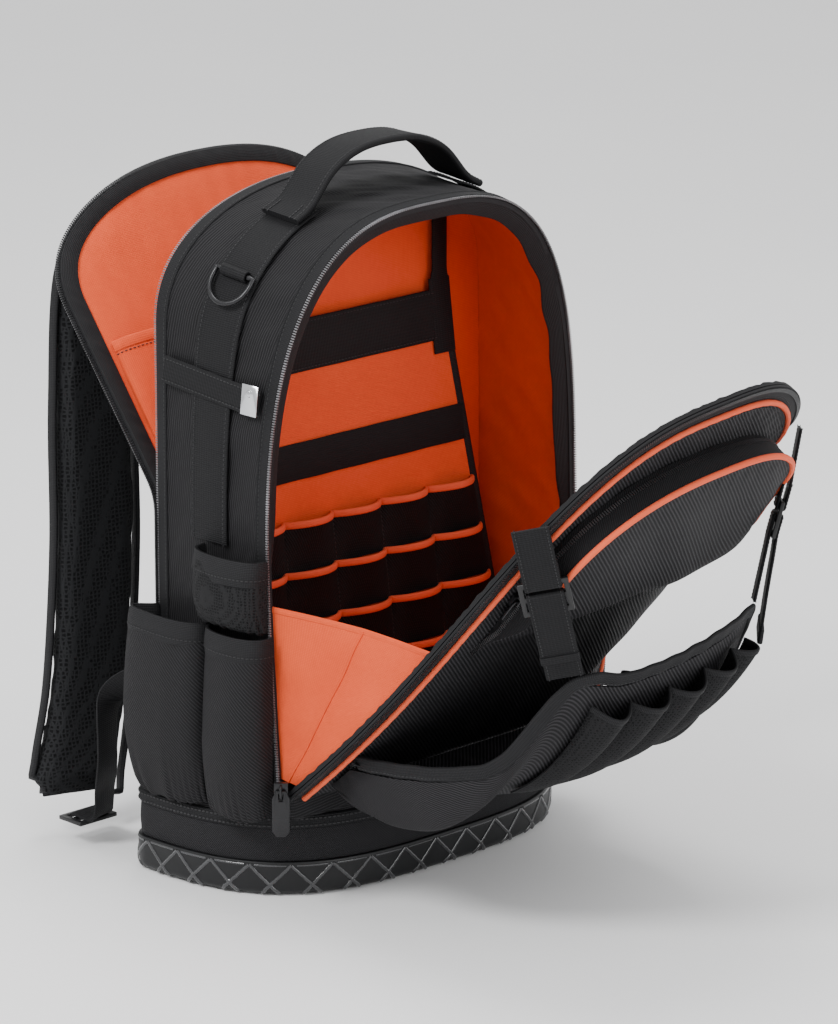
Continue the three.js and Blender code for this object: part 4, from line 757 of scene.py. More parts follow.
@dataclass(frozen=True)
class Row:
    """What repeats along a line: teeth or stitches, each size across, along and out, in millimetres."""

    size: tuple[float, float, float]
    pitch: float
    finish: Finish
    rounded: bool = True
    jitter: float = 0.0

    def tree(self) -> bpy.types.NodeTree:
        """The node tree that puts one small piece on each point."""
        ball = ("GeometryNodeMeshIcoSphere", {}, {"Radius": 0.5, "Subdivisions": 2})
        vector = {"data_type": "FLOAT_VECTOR"}
        return node_group(
            "small_rounded" if self.rounded else "small_square",
            {"Geometry": "Geometry", "Size": "Vector", "Jitter": "Float", "Material": "Material"},
            {
                "points": ("GeometryNodeMeshToPoints", {}, {}),
                "place": ("GeometryNodeInstanceOnPoints", {}, {}),
                "along": ("GeometryNodeInputNamedAttribute", vector, {"Name": "along"}),
                "out": ("GeometryNodeInputNamedAttribute", vector, {"Name": "out"}),
                "turn": ("FunctionNodeAxesToRotation", {"primary_axis": "Y", "secondary_axis": "Z"}, {}),
                "size": ("ShaderNodeVectorMath", {"operation": "SCALE"}, {}),
                "random": ("FunctionNodeRandomValue", {"data_type": "FLOAT"}, {"Seed": 11}),
                "piece": ball if self.rounded else ("GeometryNodeMeshCube", {}, {}),
                "spread": ("ShaderNodeMath", {"operation": "MULTIPLY_ADD"}, {2: 1.0}),
                "real": ("GeometryNodeRealizeInstances", {}, {}),
                "paint": ("GeometryNodeSetMaterial", {}, {}),
            },
            [
                ("given", "Geometry", "points", 0), ("points", 0, "place", "Points"),
                ("piece", 0, "place", "Instance"), ("along", 0, "turn", "Primary Axis"),
                ("out", 0, "turn", "Secondary Axis"), ("turn", 0, "place", "Rotation"),
                ("random", 1, "spread", 0), ("given", "Jitter", "spread", 1),
                ("given", "Size", "size", 0), ("spread", 0, "size", "Scale"),
                ("size", 0, "place", "Scale"), ("place", 0, "real", 0),
                ("real", 0, "paint", "Geometry"), ("given", "Material", "paint", "Material"),
                ("paint", 0, "result", 0),
            ])

    def lay(self, name: str, lines: Sequence[tuple[Grid, Grid]]) -> bpy.types.Object:
        """Lays the small pieces along lines.

        Args:
            name: The new piece's name.
            lines: Pairs of a path and the outward direction at its points.

        Returns:
            The finished piece, dressed.
        """
        spots, ways, outs = [], [], []
        for path, out in lines:
            stops, faces = evened(path, self.pitch, np.broadcast_to(out, path.shape))
            spots.append(stops)
            ways.append(along(stops))
            outs.append(unit(faces))
        mesh = bpy.data.meshes.new(name)
        mesh.from_pydata((np.concatenate(spots) * MM).tolist(), [], [])
        for key, rows in (("along", ways), ("out", outs)):
            layer = mesh.attributes.new(key, "FLOAT_VECTOR", "POINT")
            layer.data.foreach_set("vector", np.concatenate(rows).astype(np.float32).ravel())
        size = tuple(part * MM for part in self.size)
        return grown(name, mesh, self.finish, self.tree(), {"Size": size, "Jitter": self.jitter})


TOOTH = Row((3.6, 0.95, 1.3), 1.8, TEETH, rounded=False)
DARK_TOOTH = Row((3.2, 0.9, 1.3), 1.8, DARK_TEETH, rounded=False)
STITCH = Row((0.75, 2.3, 0.6), 3.3, THREAD, jitter=0.12)
CROSS_STITCH = Row((0.9, 2.6, 0.7), 3.0, THREAD, jitter=0.12)


def place(piece: bpy.types.Object, finish: Finish | None, *nodes: str, body: str = PACK) -> bpy.types.Object:
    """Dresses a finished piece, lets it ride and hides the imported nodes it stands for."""
    if finish is not None:
        finish.dress(piece)
    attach(piece, body)
    if nodes:
        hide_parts(*nodes)
    return piece


def place_row(row: Row, name: str, lines: Sequence[tuple[Grid, Grid]], body: str = PACK) -> None:
    """Lays a row of small pieces and lets it ride."""
    piece = row.lay(name, lines)
    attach(piece, body)


# Surfaces that the pieces lie on


@dataclass(frozen=True)
class Arch:
    """An upright arch: straight sides up to the spring, then a rounded top."""

    half: float
    spring: float
    rise: float
    power: float
    foot: float

    def outline(self, inset: float = 0.0, count: int = 900) -> tuple[Grid, Grid]:
        """Points (x, height) from the left foot to the right foot, and the length at each."""
        turn = np.linspace(0, math.pi, count)
        turned = np.cos(turn)
        x = -(self.half - inset) * np.sign(turned) * np.abs(turned) ** (2 / self.power)
        up = self.spring + (self.rise - inset) * np.abs(np.sin(turn)) ** (2 / self.power)
        across = np.concatenate([[x[0]], x, [x[-1]]])
        rows = np.stack([across, np.concatenate([[self.foot], up, [self.foot]])], axis=1)
        return rows, run(np.column_stack([rows, np.zeros(len(rows))]))

    def at(self, share: Grid, inset: float = 0.0) -> tuple[Grid, Grid]:
        """x and height at shares of the arch's length."""
        rows, length = self.outline(inset)
        stops = np.asarray(share) * length[-1]
        return np.interp(stops, length, rows[:, 0]), np.interp(stops, length, rows[:, 1])

    def half_at(self, height: Grid, inset: float = 0.0) -> Grid:
        """The arch's half-width at a height."""
        over = np.clip((height - self.spring) / (self.rise - inset), 0, 1)
        return (self.half - inset) * (1 - over**self.power) ** (1 / self.power)


FRONT_ARCH = Arch(154.7, 230.5, 260.0, 2.9, WALL_FOOT)
REAR_ARCH = Arch(155.5, 405.0, 91.5, 2.29, WALL_FOOT)
FRONT_TOP = FRONT_ARCH.spring + FRONT_ARCH.rise
FLAP_ARCH = Arch(154.7, FRONT_ARCH.spring - WALL_FOOT + 7, 260.0, 2.9, 0.5)
FLAP_LENGTH = FLAP_ARCH.spring + FLAP_ARCH.rise
PANEL_ARCH = Arch(155.5, 430.0, 91.5, 2.29, WALL_FOOT)
PANEL_TOP = PANEL_ARCH.spring + PANEL_ARCH.rise


def front_y(height: Grid) -> Grid:
    """The front rim's place in depth at a height."""
    share = np.clip((height - WALL_FOOT) / (FRONT_TOP - WALL_FOOT), 0, 1)
    return FRONT_Y + FRONT_BOW * np.sin(math.pi * share)


def on_body(share: Grid, depth: Grid) -> Grid:
    """Points of the body's skin: share along the arch, depth from the front rim to the rear rim."""
    front_x, front_z = FRONT_ARCH.at(share)
    rear_x, rear_z = REAR_ARCH.at(share)
    y = mix(front_y(front_z), REAR_Y, depth)
    return point(mix(front_x, rear_x, depth), y, mix(front_z, rear_z, depth))


def off_body(share: Grid, depth: Grid, lift: Grid) -> Grid:
    """Points held off the body's skin."""
    step = 0.003
    up = on_body(np.minimum(share + step, 1), depth) - on_body(np.maximum(share - step, 0), depth)
    back = on_body(share, depth + 0.02) - on_body(share, depth - 0.02)
    return on_body(share, depth) + unit(np.cross(up, back)) * np.asarray(lift, float)[..., None]


def flap_foot_y(x: Grid) -> Grid:
    """The flap's foot seam, seen from above."""
    return -73.6 - 6 * (1 - (x / FRONT_ARCH.half) ** 2)


def flap_skin(x: Grid, s: Grid) -> Grid:
    """Points of the flap's sheet: across x and along s from its foot seam."""
    start = np.radians(40.3 + 8 - 2.15 * x / FRONT_ARCH.half)
    rate = math.radians(16) / FLAP_LENGTH
    forward = (np.cos(start - rate * s) - np.cos(start)) / rate
    return point(x, flap_foot_y(x) - forward, WALL_FOOT + (np.sin(start) - np.sin(start - rate * s)) / rate)


def curled_skin(x: Grid, s: Grid) -> Grid:
    """Points of the flap's sheet with its right side curled back towards the opening."""
    x, s = np.broadcast_arrays(np.asarray(x, float), np.asarray(s, float))
    curl = 36 * np.clip((x - 50) / 105, 0, 1) ** 2.4 * ease(0, 70, s) * (1 - ease(270, 390, s))
    turn = np.radians(46) - math.radians(16) * s / FLAP_LENGTH
    return flap_skin(x, s) + point(-curl * curl / 190, curl * np.cos(turn), curl * np.sin(turn))


def lifted(skin: Callable[[Grid, Grid], Grid], x: Grid, s: Grid, lift: Grid, forward: bool) -> Grid:
    """Points held off a skin, towards the front or towards the rear."""
    x, s = np.broadcast_arrays(np.asarray(x, float), np.asarray(s, float))
    normal = unit(np.cross(skin(x + 0.5, s) - skin(x - 0.5, s), skin(x, s + 0.5) - skin(x, s - 0.5)))
    turned = np.where(normal[..., 1:2] > 0, -normal, normal)
    turned = turned if forward else -turned
    return skin(x, s) + turned * np.broadcast_to(np.asarray(lift, float), x.shape)[..., None]


def off_flap(x: Grid, s: Grid, lift: Grid) -> Grid:
    """Points held off the uncurled flap on its outer side."""
    return lifted(flap_skin, x, s, lift, True)


def on_flap(x: Grid, s: Grid, lift: Grid) -> Grid:
    """Points held off the flap on its outer side."""
    return lifted(curled_skin, x, s, lift, True)


def panel_skin(x: Grid, s: Grid) -> Grid:
    """Points of the rear panel's sheet: upright below its bend and leaning above it."""
    x, s = np.broadcast_arrays(np.asarray(x, float), np.asarray(s, float))
    bend, steps = 262.0, 24
    across = (x / PANEL_ARCH.half) ** 2
    lean = np.radians(31 + 7 * across)
    curl = np.radians(26 * across)
    y = np.full(x.shape, REAR_Y + GAP + 1.5)
    z = np.minimum(s, bend)
    length = np.maximum(s - bend, 0) / steps
    for i in range(steps):
        at = bend + (i + 0.5) * length
        angle = lean * ease(bend, bend + 34, at) - curl * ease(PANEL_TOP - 62, PANEL_TOP, at)
        y = y + length * np.sin(angle)
        z = z + length * np.cos(angle)
    return point(x, y, z)


def on_panel(x: Grid, s: Grid, lift: Grid) -> Grid:
    """Points held off the rear panel towards the wearer."""
    return lifted(panel_skin, x, s, lift, False)


@dataclass(frozen=True)
class Star:
    """A flat shape filled by rings that shrink towards its middle."""

    outline: Grid
    middle: tuple[float, float]
    rings: int = 26

    def places(self) -> tuple[Grid, Grid]:
        """x and height on each ring, from the outline inwards."""
        shares = 1 - 0.985 * np.linspace(0, 1, self.rings) ** 1.25
        centre = np.array(self.middle)
        spread = centre + (self.outline - centre)[None] * shares[:, None, None]
        return spread[..., 0], spread[..., 1]

    def edge(self, x: Grid, up: Grid) -> Grid:
        """How far places are from the outline."""
        line, height = self.outline[None, ::2, 0], self.outline[None, ::2, 1]
        return np.array([np.hypot(row[:, None] - line, rise[:, None] - height).min(1) for row, rise in zip(x, up)])


def arch_star(arch: Arch, inset: float, foot: float, pitch: float = 2.4, rings: int = 26) -> Star:
    """A star that fills an arch from its foot line up."""
    low = Arch(arch.half, arch.spring, arch.rise, arch.power, foot)
    rows, length = low.outline(inset)
    stops = np.linspace(0, length[-1], round(length[-1] / pitch))
    bend = at_stops(stops, length, rows)
    half = bend[-1, 0]
    base = np.linspace(half, -half, round(2 * half / pitch))[1:-1]
    outline = np.concatenate([bend, np.stack([base, np.full(len(base), foot)], axis=1)])
    return Star(outline, (0.0, foot + 0.52 * (arch.spring + arch.rise - foot)), rings)


def star_cloth(name: str, star: Star, skin: Callable[[Grid, Grid, Grid], Grid], low: Any,
               high: Any) -> bpy.types.Object:
    """The solid between two lifts of a star on a skin; a lift is a number or a rule of x, height and edge."""
    x, up = star.places()
    edge = star.edge(x, up)
    lifts = [rule(x, up, edge) if callable(rule) else np.full(x.shape, float(rule)) for rule in (low, high)]
    sides = [skin(x, up, lift) for lift in lifts]
    return solid(name, sides[0], sides[1], np.stack([x, up], axis=-1), around=True, cap=True)


def declare_sheet(piece: bpy.types.Object, held: str, *rests_on: str) -> None:
    """Reads a piece's UV pairs; nothing else is done with the piece."""
    pairs = np.zeros(len(piece.data.loops) * 2, np.float32)
    piece.data.uv_layers[0].data.foreach_get("uv", pairs)


def share_where(depth: float, test: Callable[[Grid], Grid]) -> float:
    """The first share of the body's arch, from the left foot, where its skin passes a test."""
    shares = np.linspace(0, 0.5, 2000)
    return float(shares[int(np.argmax(test(on_body(shares, depth))))])


# The moulded base and the cloth foot above it


@dataclass(frozen=True)
class Plan:
    """A closed outline seen from above: flat at the back and rounded in front."""

    half: float
    front: float
    back: float
    corner: float
    power: float
    behind_flap: bool = False

    def ring(self, inset: float, height: float, count: int = 360) -> Grid:
        """Even points round the outline, set in, at one height."""
        half, rear = self.half - inset, self.back - inset
        depth, radius = rear - self.front - inset, max(1.0, self.corner - inset)
        start = math.asin((radius / depth) ** (self.power / 2))
        turn = np.linspace(start, math.pi / 2, 240)
        x = half * np.cos(turn) ** (2 / self.power)
        y = rear - depth * np.sin(turn) ** (2 / self.power)
        if self.behind_flap:
            y = np.maximum(flap_foot_y(x) + inset, y)
        bend = np.linspace(math.pi / 2, 0, 12)
        right = np.concatenate([[[0, rear]], np.stack([half - radius + radius * np.cos(bend),
                                                       rear - radius + radius * np.sin(bend)], axis=1),
                                np.stack([x, y], axis=1)])
        outline = np.concatenate([right, right[::-1] * (-1, 1)])
        line = np.column_stack([outline, np.full(len(outline), height)])
        length = run(line)
        stops = np.linspace(0, length[-1], count + 1)[:-1]
        return at_stops(stops, length, line)


BASE_PLAN = Plan(170, -81.5, 81.5, 20, 3.1)
FOOT_PLAN = Plan(155.8, -79.6, REAR_Y, 10, 14, behind_flap=True)


def ring_out(ring: Grid) -> Grid:
    """The outward directions of a level ring."""
    ways = along(ring, closed=True)
    outs = np.cross(ways, (0, 0, 1.0))
    middle = ring.mean(axis=0)
    sign = np.sign(np.sum(outs * (ring - middle), axis=1).sum())
    return outs * sign


@dataclass
class Base:
    """The rubber tray with its lattice, the woven band, its bound top and the cloth foot."""

    tray_height: float = 25.0
    wall: float = 3.2
    edge: float = 6.0
    band_foot: float = 25.3
    band_top: float = 49.3
    cell: float = 31.0
    rib: float = 1.6
    rail: float = 1.1
    cross: float = 7.6

    def build(self) -> None:
        """Makes the whole base."""
        self.tray()
        self.lattice()
        self.band()
        self.foot()

    def tray(self) -> None:
        """The tray: a moulded cup whose wall is set back between its rails."""
        turns = np.linspace(0, math.pi / 2, 6)
        rows = [(self.edge * (1 - math.sin(t)), self.edge * (1 - math.cos(t))) for t in turns]
        rows += [(0, 12.0), (0, 20.4), (0, 24.0), (0.5, 24.8), (1.2, 25.0)]
        rows += [(self.wall - 0.6, 25.0), (self.wall, 24.4), (self.wall, self.wall)]
        rings = np.array([BASE_PLAN.ring(inset, height) for inset, height in rows])
        place(shell("base_tray_rubber", rings), RUBBER, "base_tray")

    def lattice(self) -> None:
        """Glossy ribs that cross over the tray's wall, and short bright rails on its top."""
        rings = {}
        total = run(BASE_PLAN.ring(0.0, 0.0, 720))[-1] * 720 / 719
        cells = round(total / self.cell)
        lines = []
        heights = np.linspace(22.6, 1.4, 16)
        sunk = 0.35 * self.rib
        for height in heights:
            under = self.edge * (1 - math.sqrt(max(0.0, 1 - (max(0.0, self.edge - height) / self.edge) ** 2)))
            rings[height] = BASE_PLAN.ring(under + sunk, height, 1440)
        for lean in (-1, 1):
            for k in range(cells):
                spots = []
                for height in heights:
                    share = (k + lean * (heights[0] - height) / (heights[0] - self.cross) / 2) / cells
                    spots.append(rings[height][round(share * 1440) % 1440])
                lines.append(np.array(spots))
        ribs = Ribs(self.rib, RIB_RUBBER).lay("tray_ribs", lines)
        place(ribs, None)
        rail_ring = BASE_PLAN.ring(sunk, 22.4, 1440)
        bars = []
        for k in range(cells):
            stops = np.linspace(k + 0.12, k + 0.88, 12) / cells * 1440
            bars.append(rail_ring[np.round(stops).astype(int) % 1440])
        bars = Ribs(self.rail, RIB_RUBBER).lay("tray_bars", bars)
        place(bars, None)
        outs = ring_out(BASE_PLAN.ring(0.0, 8.0, 1440))
        low = BASE_PLAN.ring(0.0, self.cross, 1440)
        spots = [round((k + 0.5) / cells * 1440) % 1440 for k in range(cells)]
        place_row(Row((3.8, 3.8, 2.4), 50, RIB_RUBBER), "tray_nodes", [
            (np.array([low[k], low[k] + (0, 0, 0.5)]), np.array([outs[k], outs[k]])) for k in spots])

    def band(self) -> None:
        """The woven band and the bound edge above it, with its two rows of stitches."""
        middle = (self.band_foot + self.band_top) / 2
        rows = [(2.6, self.band_foot), (2.2, self.band_foot + 2), (1.7, middle), (2.2, self.band_top - 2),
                (2.6, self.band_top), (4.8, self.band_top), (4.8, self.band_foot)]
        rings = np.array([BASE_PLAN.ring(inset, height, 480) for inset, height in rows])
        place(shell("base_band_cloth", rings, closed=True), BASE_TWILL, "base_band")
        low, high = self.band_top + GAP, TOP_OF_BASE
        rows = [(2.4, low), (1.3, low + 0.9), (0.75, low + 3.2), (1.05, (low + high) / 2), (0.75, high - 3.2),
                (1.3, high - 0.9), (2.6, high), (4.8, high), (4.8, low)]
        rings = np.array([BASE_PLAN.ring(inset, height, 480) for inset, height in rows])
        place(shell("base_binding_tape", rings, closed=True), TAPE, "base_binding")
        lines = []
        for height in (low + 2.6, high - 2.6):
            ring = BASE_PLAN.ring(0.7, height)
            ring = np.vstack([ring, ring[:1]])
            lines.append((ring, np.vstack([ring_out(ring[:-1]), ring_out(ring[:-1])[:1]])))
        place_row(Row((1.5, 2.5, 1.1), 3.4, THREAD, jitter=0.1), "base_stitches", lines)

    def foot(self) -> None:
        """The cloth wall that steps in from the base to the pack."""
        rings = [BASE_PLAN.ring(3.2, 60.3, 480)]
        outer, inner = BASE_PLAN.ring(3.2, 60.3, 480), FOOT_PLAN.ring(0, 67.2, 480)
        for share in (0.25, 0.5, 0.75):
            ring = mix(outer, inner, share)
            ring[:, 2] += 2.2 * math.sin(math.pi * share)
            rings.append(ring)
        rings.append(inner)
        rings += [FOOT_PLAN.ring(inset, height, 480) for inset, height in ((0.3, 75), (0, 83.3), (CLOTH, 83.3),
                                                                           (CLOTH, 65.0))]
        rings.append(BASE_PLAN.ring(5.4, 60.3, 480))
        folds = Folds(5, 0.8, 26)
        rings = np.array(rings)
        shares = np.linspace(0, 900, 480)
        for j in range(1, 6):
            rings[j] -= ring_out(rings[j]) * (0.5 + folds.at(shares, np.full(480, 9.0 * j)))[:, None]
        place(shell("body_foot_cloth", rings, closed=True), GUSSET_TWILL, "body_foot")


@dataclass(frozen=True)
class Ribs:
    """Round ribs along lines, made by Geometry Nodes."""

    radius: float
    finish: Finish

    def tree(self) -> bpy.types.NodeTree:
        """The node tree that gives lines a round section."""
        return node_group(
            "round_ribs",
            {"Geometry": "Geometry", "Radius": "Float", "Material": "Material"},
            {
                "curve": ("GeometryNodeMeshToCurve", {}, {}),
                "circle": ("GeometryNodeCurvePrimitiveCircle", {}, {"Resolution": 8}),
                "tube": ("GeometryNodeCurveToMesh", {}, {"Fill Caps": True}),
                "smooth": ("GeometryNodeSetShadeSmooth", {}, {}),
                "real": ("GeometryNodeRealizeInstances", {}, {}),
                "paint": ("GeometryNodeSetMaterial", {}, {}),
            },
            [
                ("given", "Geometry", "curve", 0), ("given", "Radius", "circle", "Radius"),
                ("curve", 0, "tube", 0), ("circle", 0, "tube", 1), ("tube", 0, "smooth", 0),
                ("smooth", 0, "real", 0), ("real", 0, "paint", "Geometry"),
                ("given", "Material", "paint", "Material"), ("paint", 0, "result", 0),
            ])

    def lay(self, name: str, lines: Sequence[Grid]) -> bpy.types.Object:
        """Lays ribs along lines.

        Args:
            name: The new piece's name.
            lines: Rows of points in millimetres.

        Returns:
            The finished piece, dressed.
        """
        edges, first = [], 0
        for line in lines:
            edges += [(first + k, first + k + 1) for k in range(len(line) - 1)]
            first += len(line)
        mesh = bpy.data.meshes.new(name)
        mesh.from_pydata((np.concatenate(lines) * MM).tolist(), edges, [])
        return grown(name, mesh, self.finish, self.tree(), {"Radius": self.radius * MM})


# The body: gusset, zip tapes, lining and the divider


@dataclass
class Body:
    """The pack's wall between the front and rear openings."""

    tape: float = 12.0
    shares: Grid = field(default_factory=lambda: np.linspace(0, 1, 321))

    def strip(self, name: str, finish: Finish, ends: tuple[float, float], low: Any, high: Any, rows: int,
              *nodes: str) -> bpy.types.Object:
        """One strip of the body's skin between two depths in millimetres from the front rim."""
        depths = np.linspace(ends[0], ends[1], rows)[:, None] / BODY_DEPTH
        shares = self.shares[None, :]
        length = np.linspace(0, 1200, len(self.shares))
        uv = np.stack(np.broadcast_arrays(length[None, :], depths * BODY_DEPTH), axis=-1)
        low, high = (np.broadcast_to(np.asarray(lift, float), uv.shape[:2]) for lift in (low, high))
        piece = solid(name, off_body(shares, depths, low), off_body(shares, depths, high), uv)
        return place(piece, finish, *nodes)

    def grid(self, ends: tuple[float, float], rows: int) -> tuple[Grid, Grid]:
        """Length along the arch and depth, for folds."""
        length = np.linspace(0, 1200, len(self.shares))[None]
        return np.broadcast_arrays(length, np.linspace(*ends, rows)[:, None])

    def build(self) -> None:
        """Makes the body's pieces."""
        inner = (ZIP_WIDTH + GAP, BODY_DEPTH - ZIP_WIDTH - GAP)
        u, v = self.grid(inner, 40)
        folds = Folds(3, 1.9, 46, turn=0.5).at(u, v) + Folds(8, 0.7, 15, turn=1.2).at(u, v)
        hem = ease(0, 9, np.minimum(v - inner[0], inner[1] - v))
        outside = -0.15 - 0.9 * hem * (0.8 + folds).clip(0, 1.4)
        self.strip("gusset_cloth", GUSSET_TWILL, inner, -CLOTH, outside, 40, "body_gusset")
        self.strip("front_zip_tape", TAPE, (0.6, ZIP_WIDTH), -CLOTH, 0.3, 6, "front_zip")
        rear = (BODY_DEPTH - ZIP_WIDTH, BODY_DEPTH - 0.6)
        self.strip("rear_zip_tape", TAPE, rear, -CLOTH, 0.3, 6, "rear_zip")
        shares = self.shares
        for name, depth, seam in (("front", 0.0, ZIP_WIDTH), ("rear", BODY_DEPTH, BODY_DEPTH - ZIP_WIDTH)):
            path = off_body(shares, depth / BODY_DEPTH, -0.7)
            out = off_body(shares, depth / BODY_DEPTH, 9.3) - path
            place_row(TOOTH, f"{name}_zip_teeth", [(path, out)])
            beside = (seam + (-1.6 if depth < 9 else 1.6)) / BODY_DEPTH
            place_row(STITCH, f"{name}_zip_stitches", [(off_body(shares, beside, 0.35), out)])
            cord = off_body(shares, seam / BODY_DEPTH, 0.1)
            place(sweep(f"{name}_seam_cord", cord, out, round_section(0.95, 8)), TAPE)
        self.linings()
        self.divider()

    def linings(self) -> None:
        """The orange lining and the black bindings on its two rims."""
        ends = (9.0, BODY_DEPTH - 9.0)
        u, v = self.grid(ends, 36)
        folds = (Folds(21, 1.3, 34, turn=0.3).at(u, v) + 0.4).clip(0, 1.2)
        self.strip("gusset_lining_cloth", ORANGE, ends, -3.5 - 0.7 * folds, -2.5, 36, "gusset_lining")
        declare_sheet(bpy.data.objects["gusset_lining_cloth"], "stretched", "gusset_cloth")
        for name, start in (("front", 0.3), ("rear", BODY_DEPTH - self.tape - 0.3)):
            ends = (start, start + self.tape)
            u, v = self.grid(ends, 9)
            inward = v - ends[0] if name == "front" else ends[1] - v
            wave = Folds(31, 0.9, 13, turn=0.0, spread=0.3).at(u, v) * inward / 12
            self.strip(f"{name}_rim_binding", TAPE, ends, -5.4 - wave, -2.3, 9)
        self.flange()

    def flange(self) -> None:
        """The soft black flange that lines the front opening."""
        shares = np.linspace(0.002, 0.998, 420)
        _, height = FRONT_ARCH.at(shares)
        wave = Folds(33, 1.0, 52, turn=0.0, spread=0.2).at(shares * 1150, 0)
        wide = 4.0 + (8.5 + 1.5 * wave) * ease(205, 300, height)
        faces = []
        for back in (0.0, 0.9):
            rows = []
            for share in np.linspace(0, 1, 9):
                insets = 2.6 + wide * share
                x, up = np.array([FRONT_ARCH.at(stop, inset) for stop, inset in zip(shares, insets)]).T
                deep = 0.8 + 5.5 * share**1.6 + 1.6 * wave * share + back
                rows.append(point(x, front_y(up) + deep, up))
            faces.append(np.array(rows))
        place(solid("front_flange", faces[1], faces[0], lengths(faces[0])), TAPE)

    def divider(self) -> None:
        """The padded wall in front of the laptop room."""
        y = 45.5
        depth = (y - FRONT_Y) / BODY_DEPTH
        shares = np.linspace(0, 1, 420)
        rim = off_body(shares, depth, -INNER_INSET - 0.6)
        foot = WALL_FOOT + 0.4
        rim = rim[rim[:, 2] >= foot]
        base = np.linspace(rim[-1, 0], rim[0, 0], 110)[1:-1]
        outline = np.concatenate([rim[:, [0, 2]], np.stack([base, np.full(len(base), foot)], axis=1)])
        star = Star(outline, (0, 300))
        folds = Folds(41, 1.6, 70)

        def front(x: Grid, up: Grid, edge: Grid) -> Grid:
            """The face towards the tools."""
            return 1.5 - 0.8 * ease(0, 12, edge) * folds.at(x, up).clip(0, 1)

        piece = star_cloth("divider_cloth", star, lambda x, up, lift: point(x, y - lift, up), -1.5, front)
        place(piece, ORANGE, "divider")


# The flap, its zip, piping and pouch


@dataclass
class Flap:
    """The front flap, laid forward and down."""

    border: float = 11.0
    cord: float = 2.1
    thickness: float = 4.0
    shares: Grid = field(default_factory=lambda: np.linspace(0.0006, 0.9994, 420))

    def edge(self, inset: float, lift: float) -> Grid:
        """A path along the flap's edge, set in and lifted."""
        x, s = FLAP_ARCH.at(self.shares, inset)
        return on_flap(x, s, lift)

    def outs(self, inset: float) -> Grid:
        """The flap's outward direction along its edge."""
        return self.edge(inset, 1.0) - self.edge(inset, 0.0)

    def build(self) -> None:
        """Makes the flap's pieces."""
        self.face()
        self.rim()

    def face(self) -> None:
        """The quilted outer cloth and the lining under it."""
        pucker = Folds(51, 1.0, 10, turn=0.2, spread=1.6, count=9)
        slow = Folds(52, 1.0, 60, turn=0.6)

        def top(x: Grid, s: Grid, edge: Grid) -> Grid:
            """The outer face, gathered beside the piping."""
            gathers = ease(0, 3, edge) * (1 - ease(6, 26, edge))
            swell = 0.7 * ease(0, 16, edge) + 1.4 * ease(0, 14, edge) * slow.at(x, s)
            return self.thickness - 0.8 + swell + 1.3 * gathers * pucker.at(x, s)

        def under(x: Grid, s: Grid, edge: Grid) -> Grid:
            """The lining's own face."""
            return -1.4 - 1.4 * ease(0, 20, edge) * (slow.at(x, s) + 0.4).clip(0, 1.5)

        star = arch_star(FLAP_ARCH, self.border + 4.8, 0.5, 2.0, 30)
        place(star_cloth("flap_cloth", star, on_flap, 0.0, top), TWILL, "flap_panel")
        lined = arch_star(FLAP_ARCH, 9.0, 0.5, 3.2, 24)
        piece = place(star_cloth("flap_lining_cloth", lined, on_flap, under, -0.35), ORANGE, "flap_lining")
        declare_sheet(piece, "stretched", "flap_cloth")

    def rim(self) -> None:
        """The zip tape with its teeth, the piping and the inner binding."""
        rows = np.linspace(0, self.border, 6)
        bands = (("flap_zip_tape", 0.4, 1.9, 1.0), ("flap_rim_binding", -3.4, -0.35, 1.15))
        for name, low, high, reach in bands:
            grids = []
            for lift in (low, high):
                wave = 0 if lift > -1 else 0.9 * Folds(61, 1.0, 14).at(self.shares * 1150, 0)
                grids.append(np.array([self.edge(inset * reach + 0.6, lift - wave) for inset in rows]))
            uv = np.stack(np.broadcast_arrays(self.shares[None] * 1150, rows[:, None]), axis=-1)
            place(solid(name, grids[0], grids[1], uv), TAPE, *(["flap_zip"] if low > 0 else []))
        place_row(DARK_TOOTH, "flap_zip_teeth", [(self.edge(3.4, 2.1), self.outs(3))])
        place_row(STITCH, "flap_zip_stitches", [(self.edge(self.border - 1.6, 2.0), self.outs(self.border))])
        cord = self.edge(self.border + GAP + self.cord, self.thickness - 0.6)
        scale = 1 + 0.05 * np.sin(np.linspace(0, 500, len(cord)))[:, None] * np.ones((1, 2))
        piping = sweep("flap_piping_cord", cord, self.outs(13.4), round_section(self.cord, 12), scale=scale)
        place(piping, CORAL, "flap_piping")
        seam = self.edge(self.border + 2 * self.cord + 2.4, self.thickness - 0.1)
        place_row(STITCH, "flap_seam_stitches", [(seam, self.outs(16))])


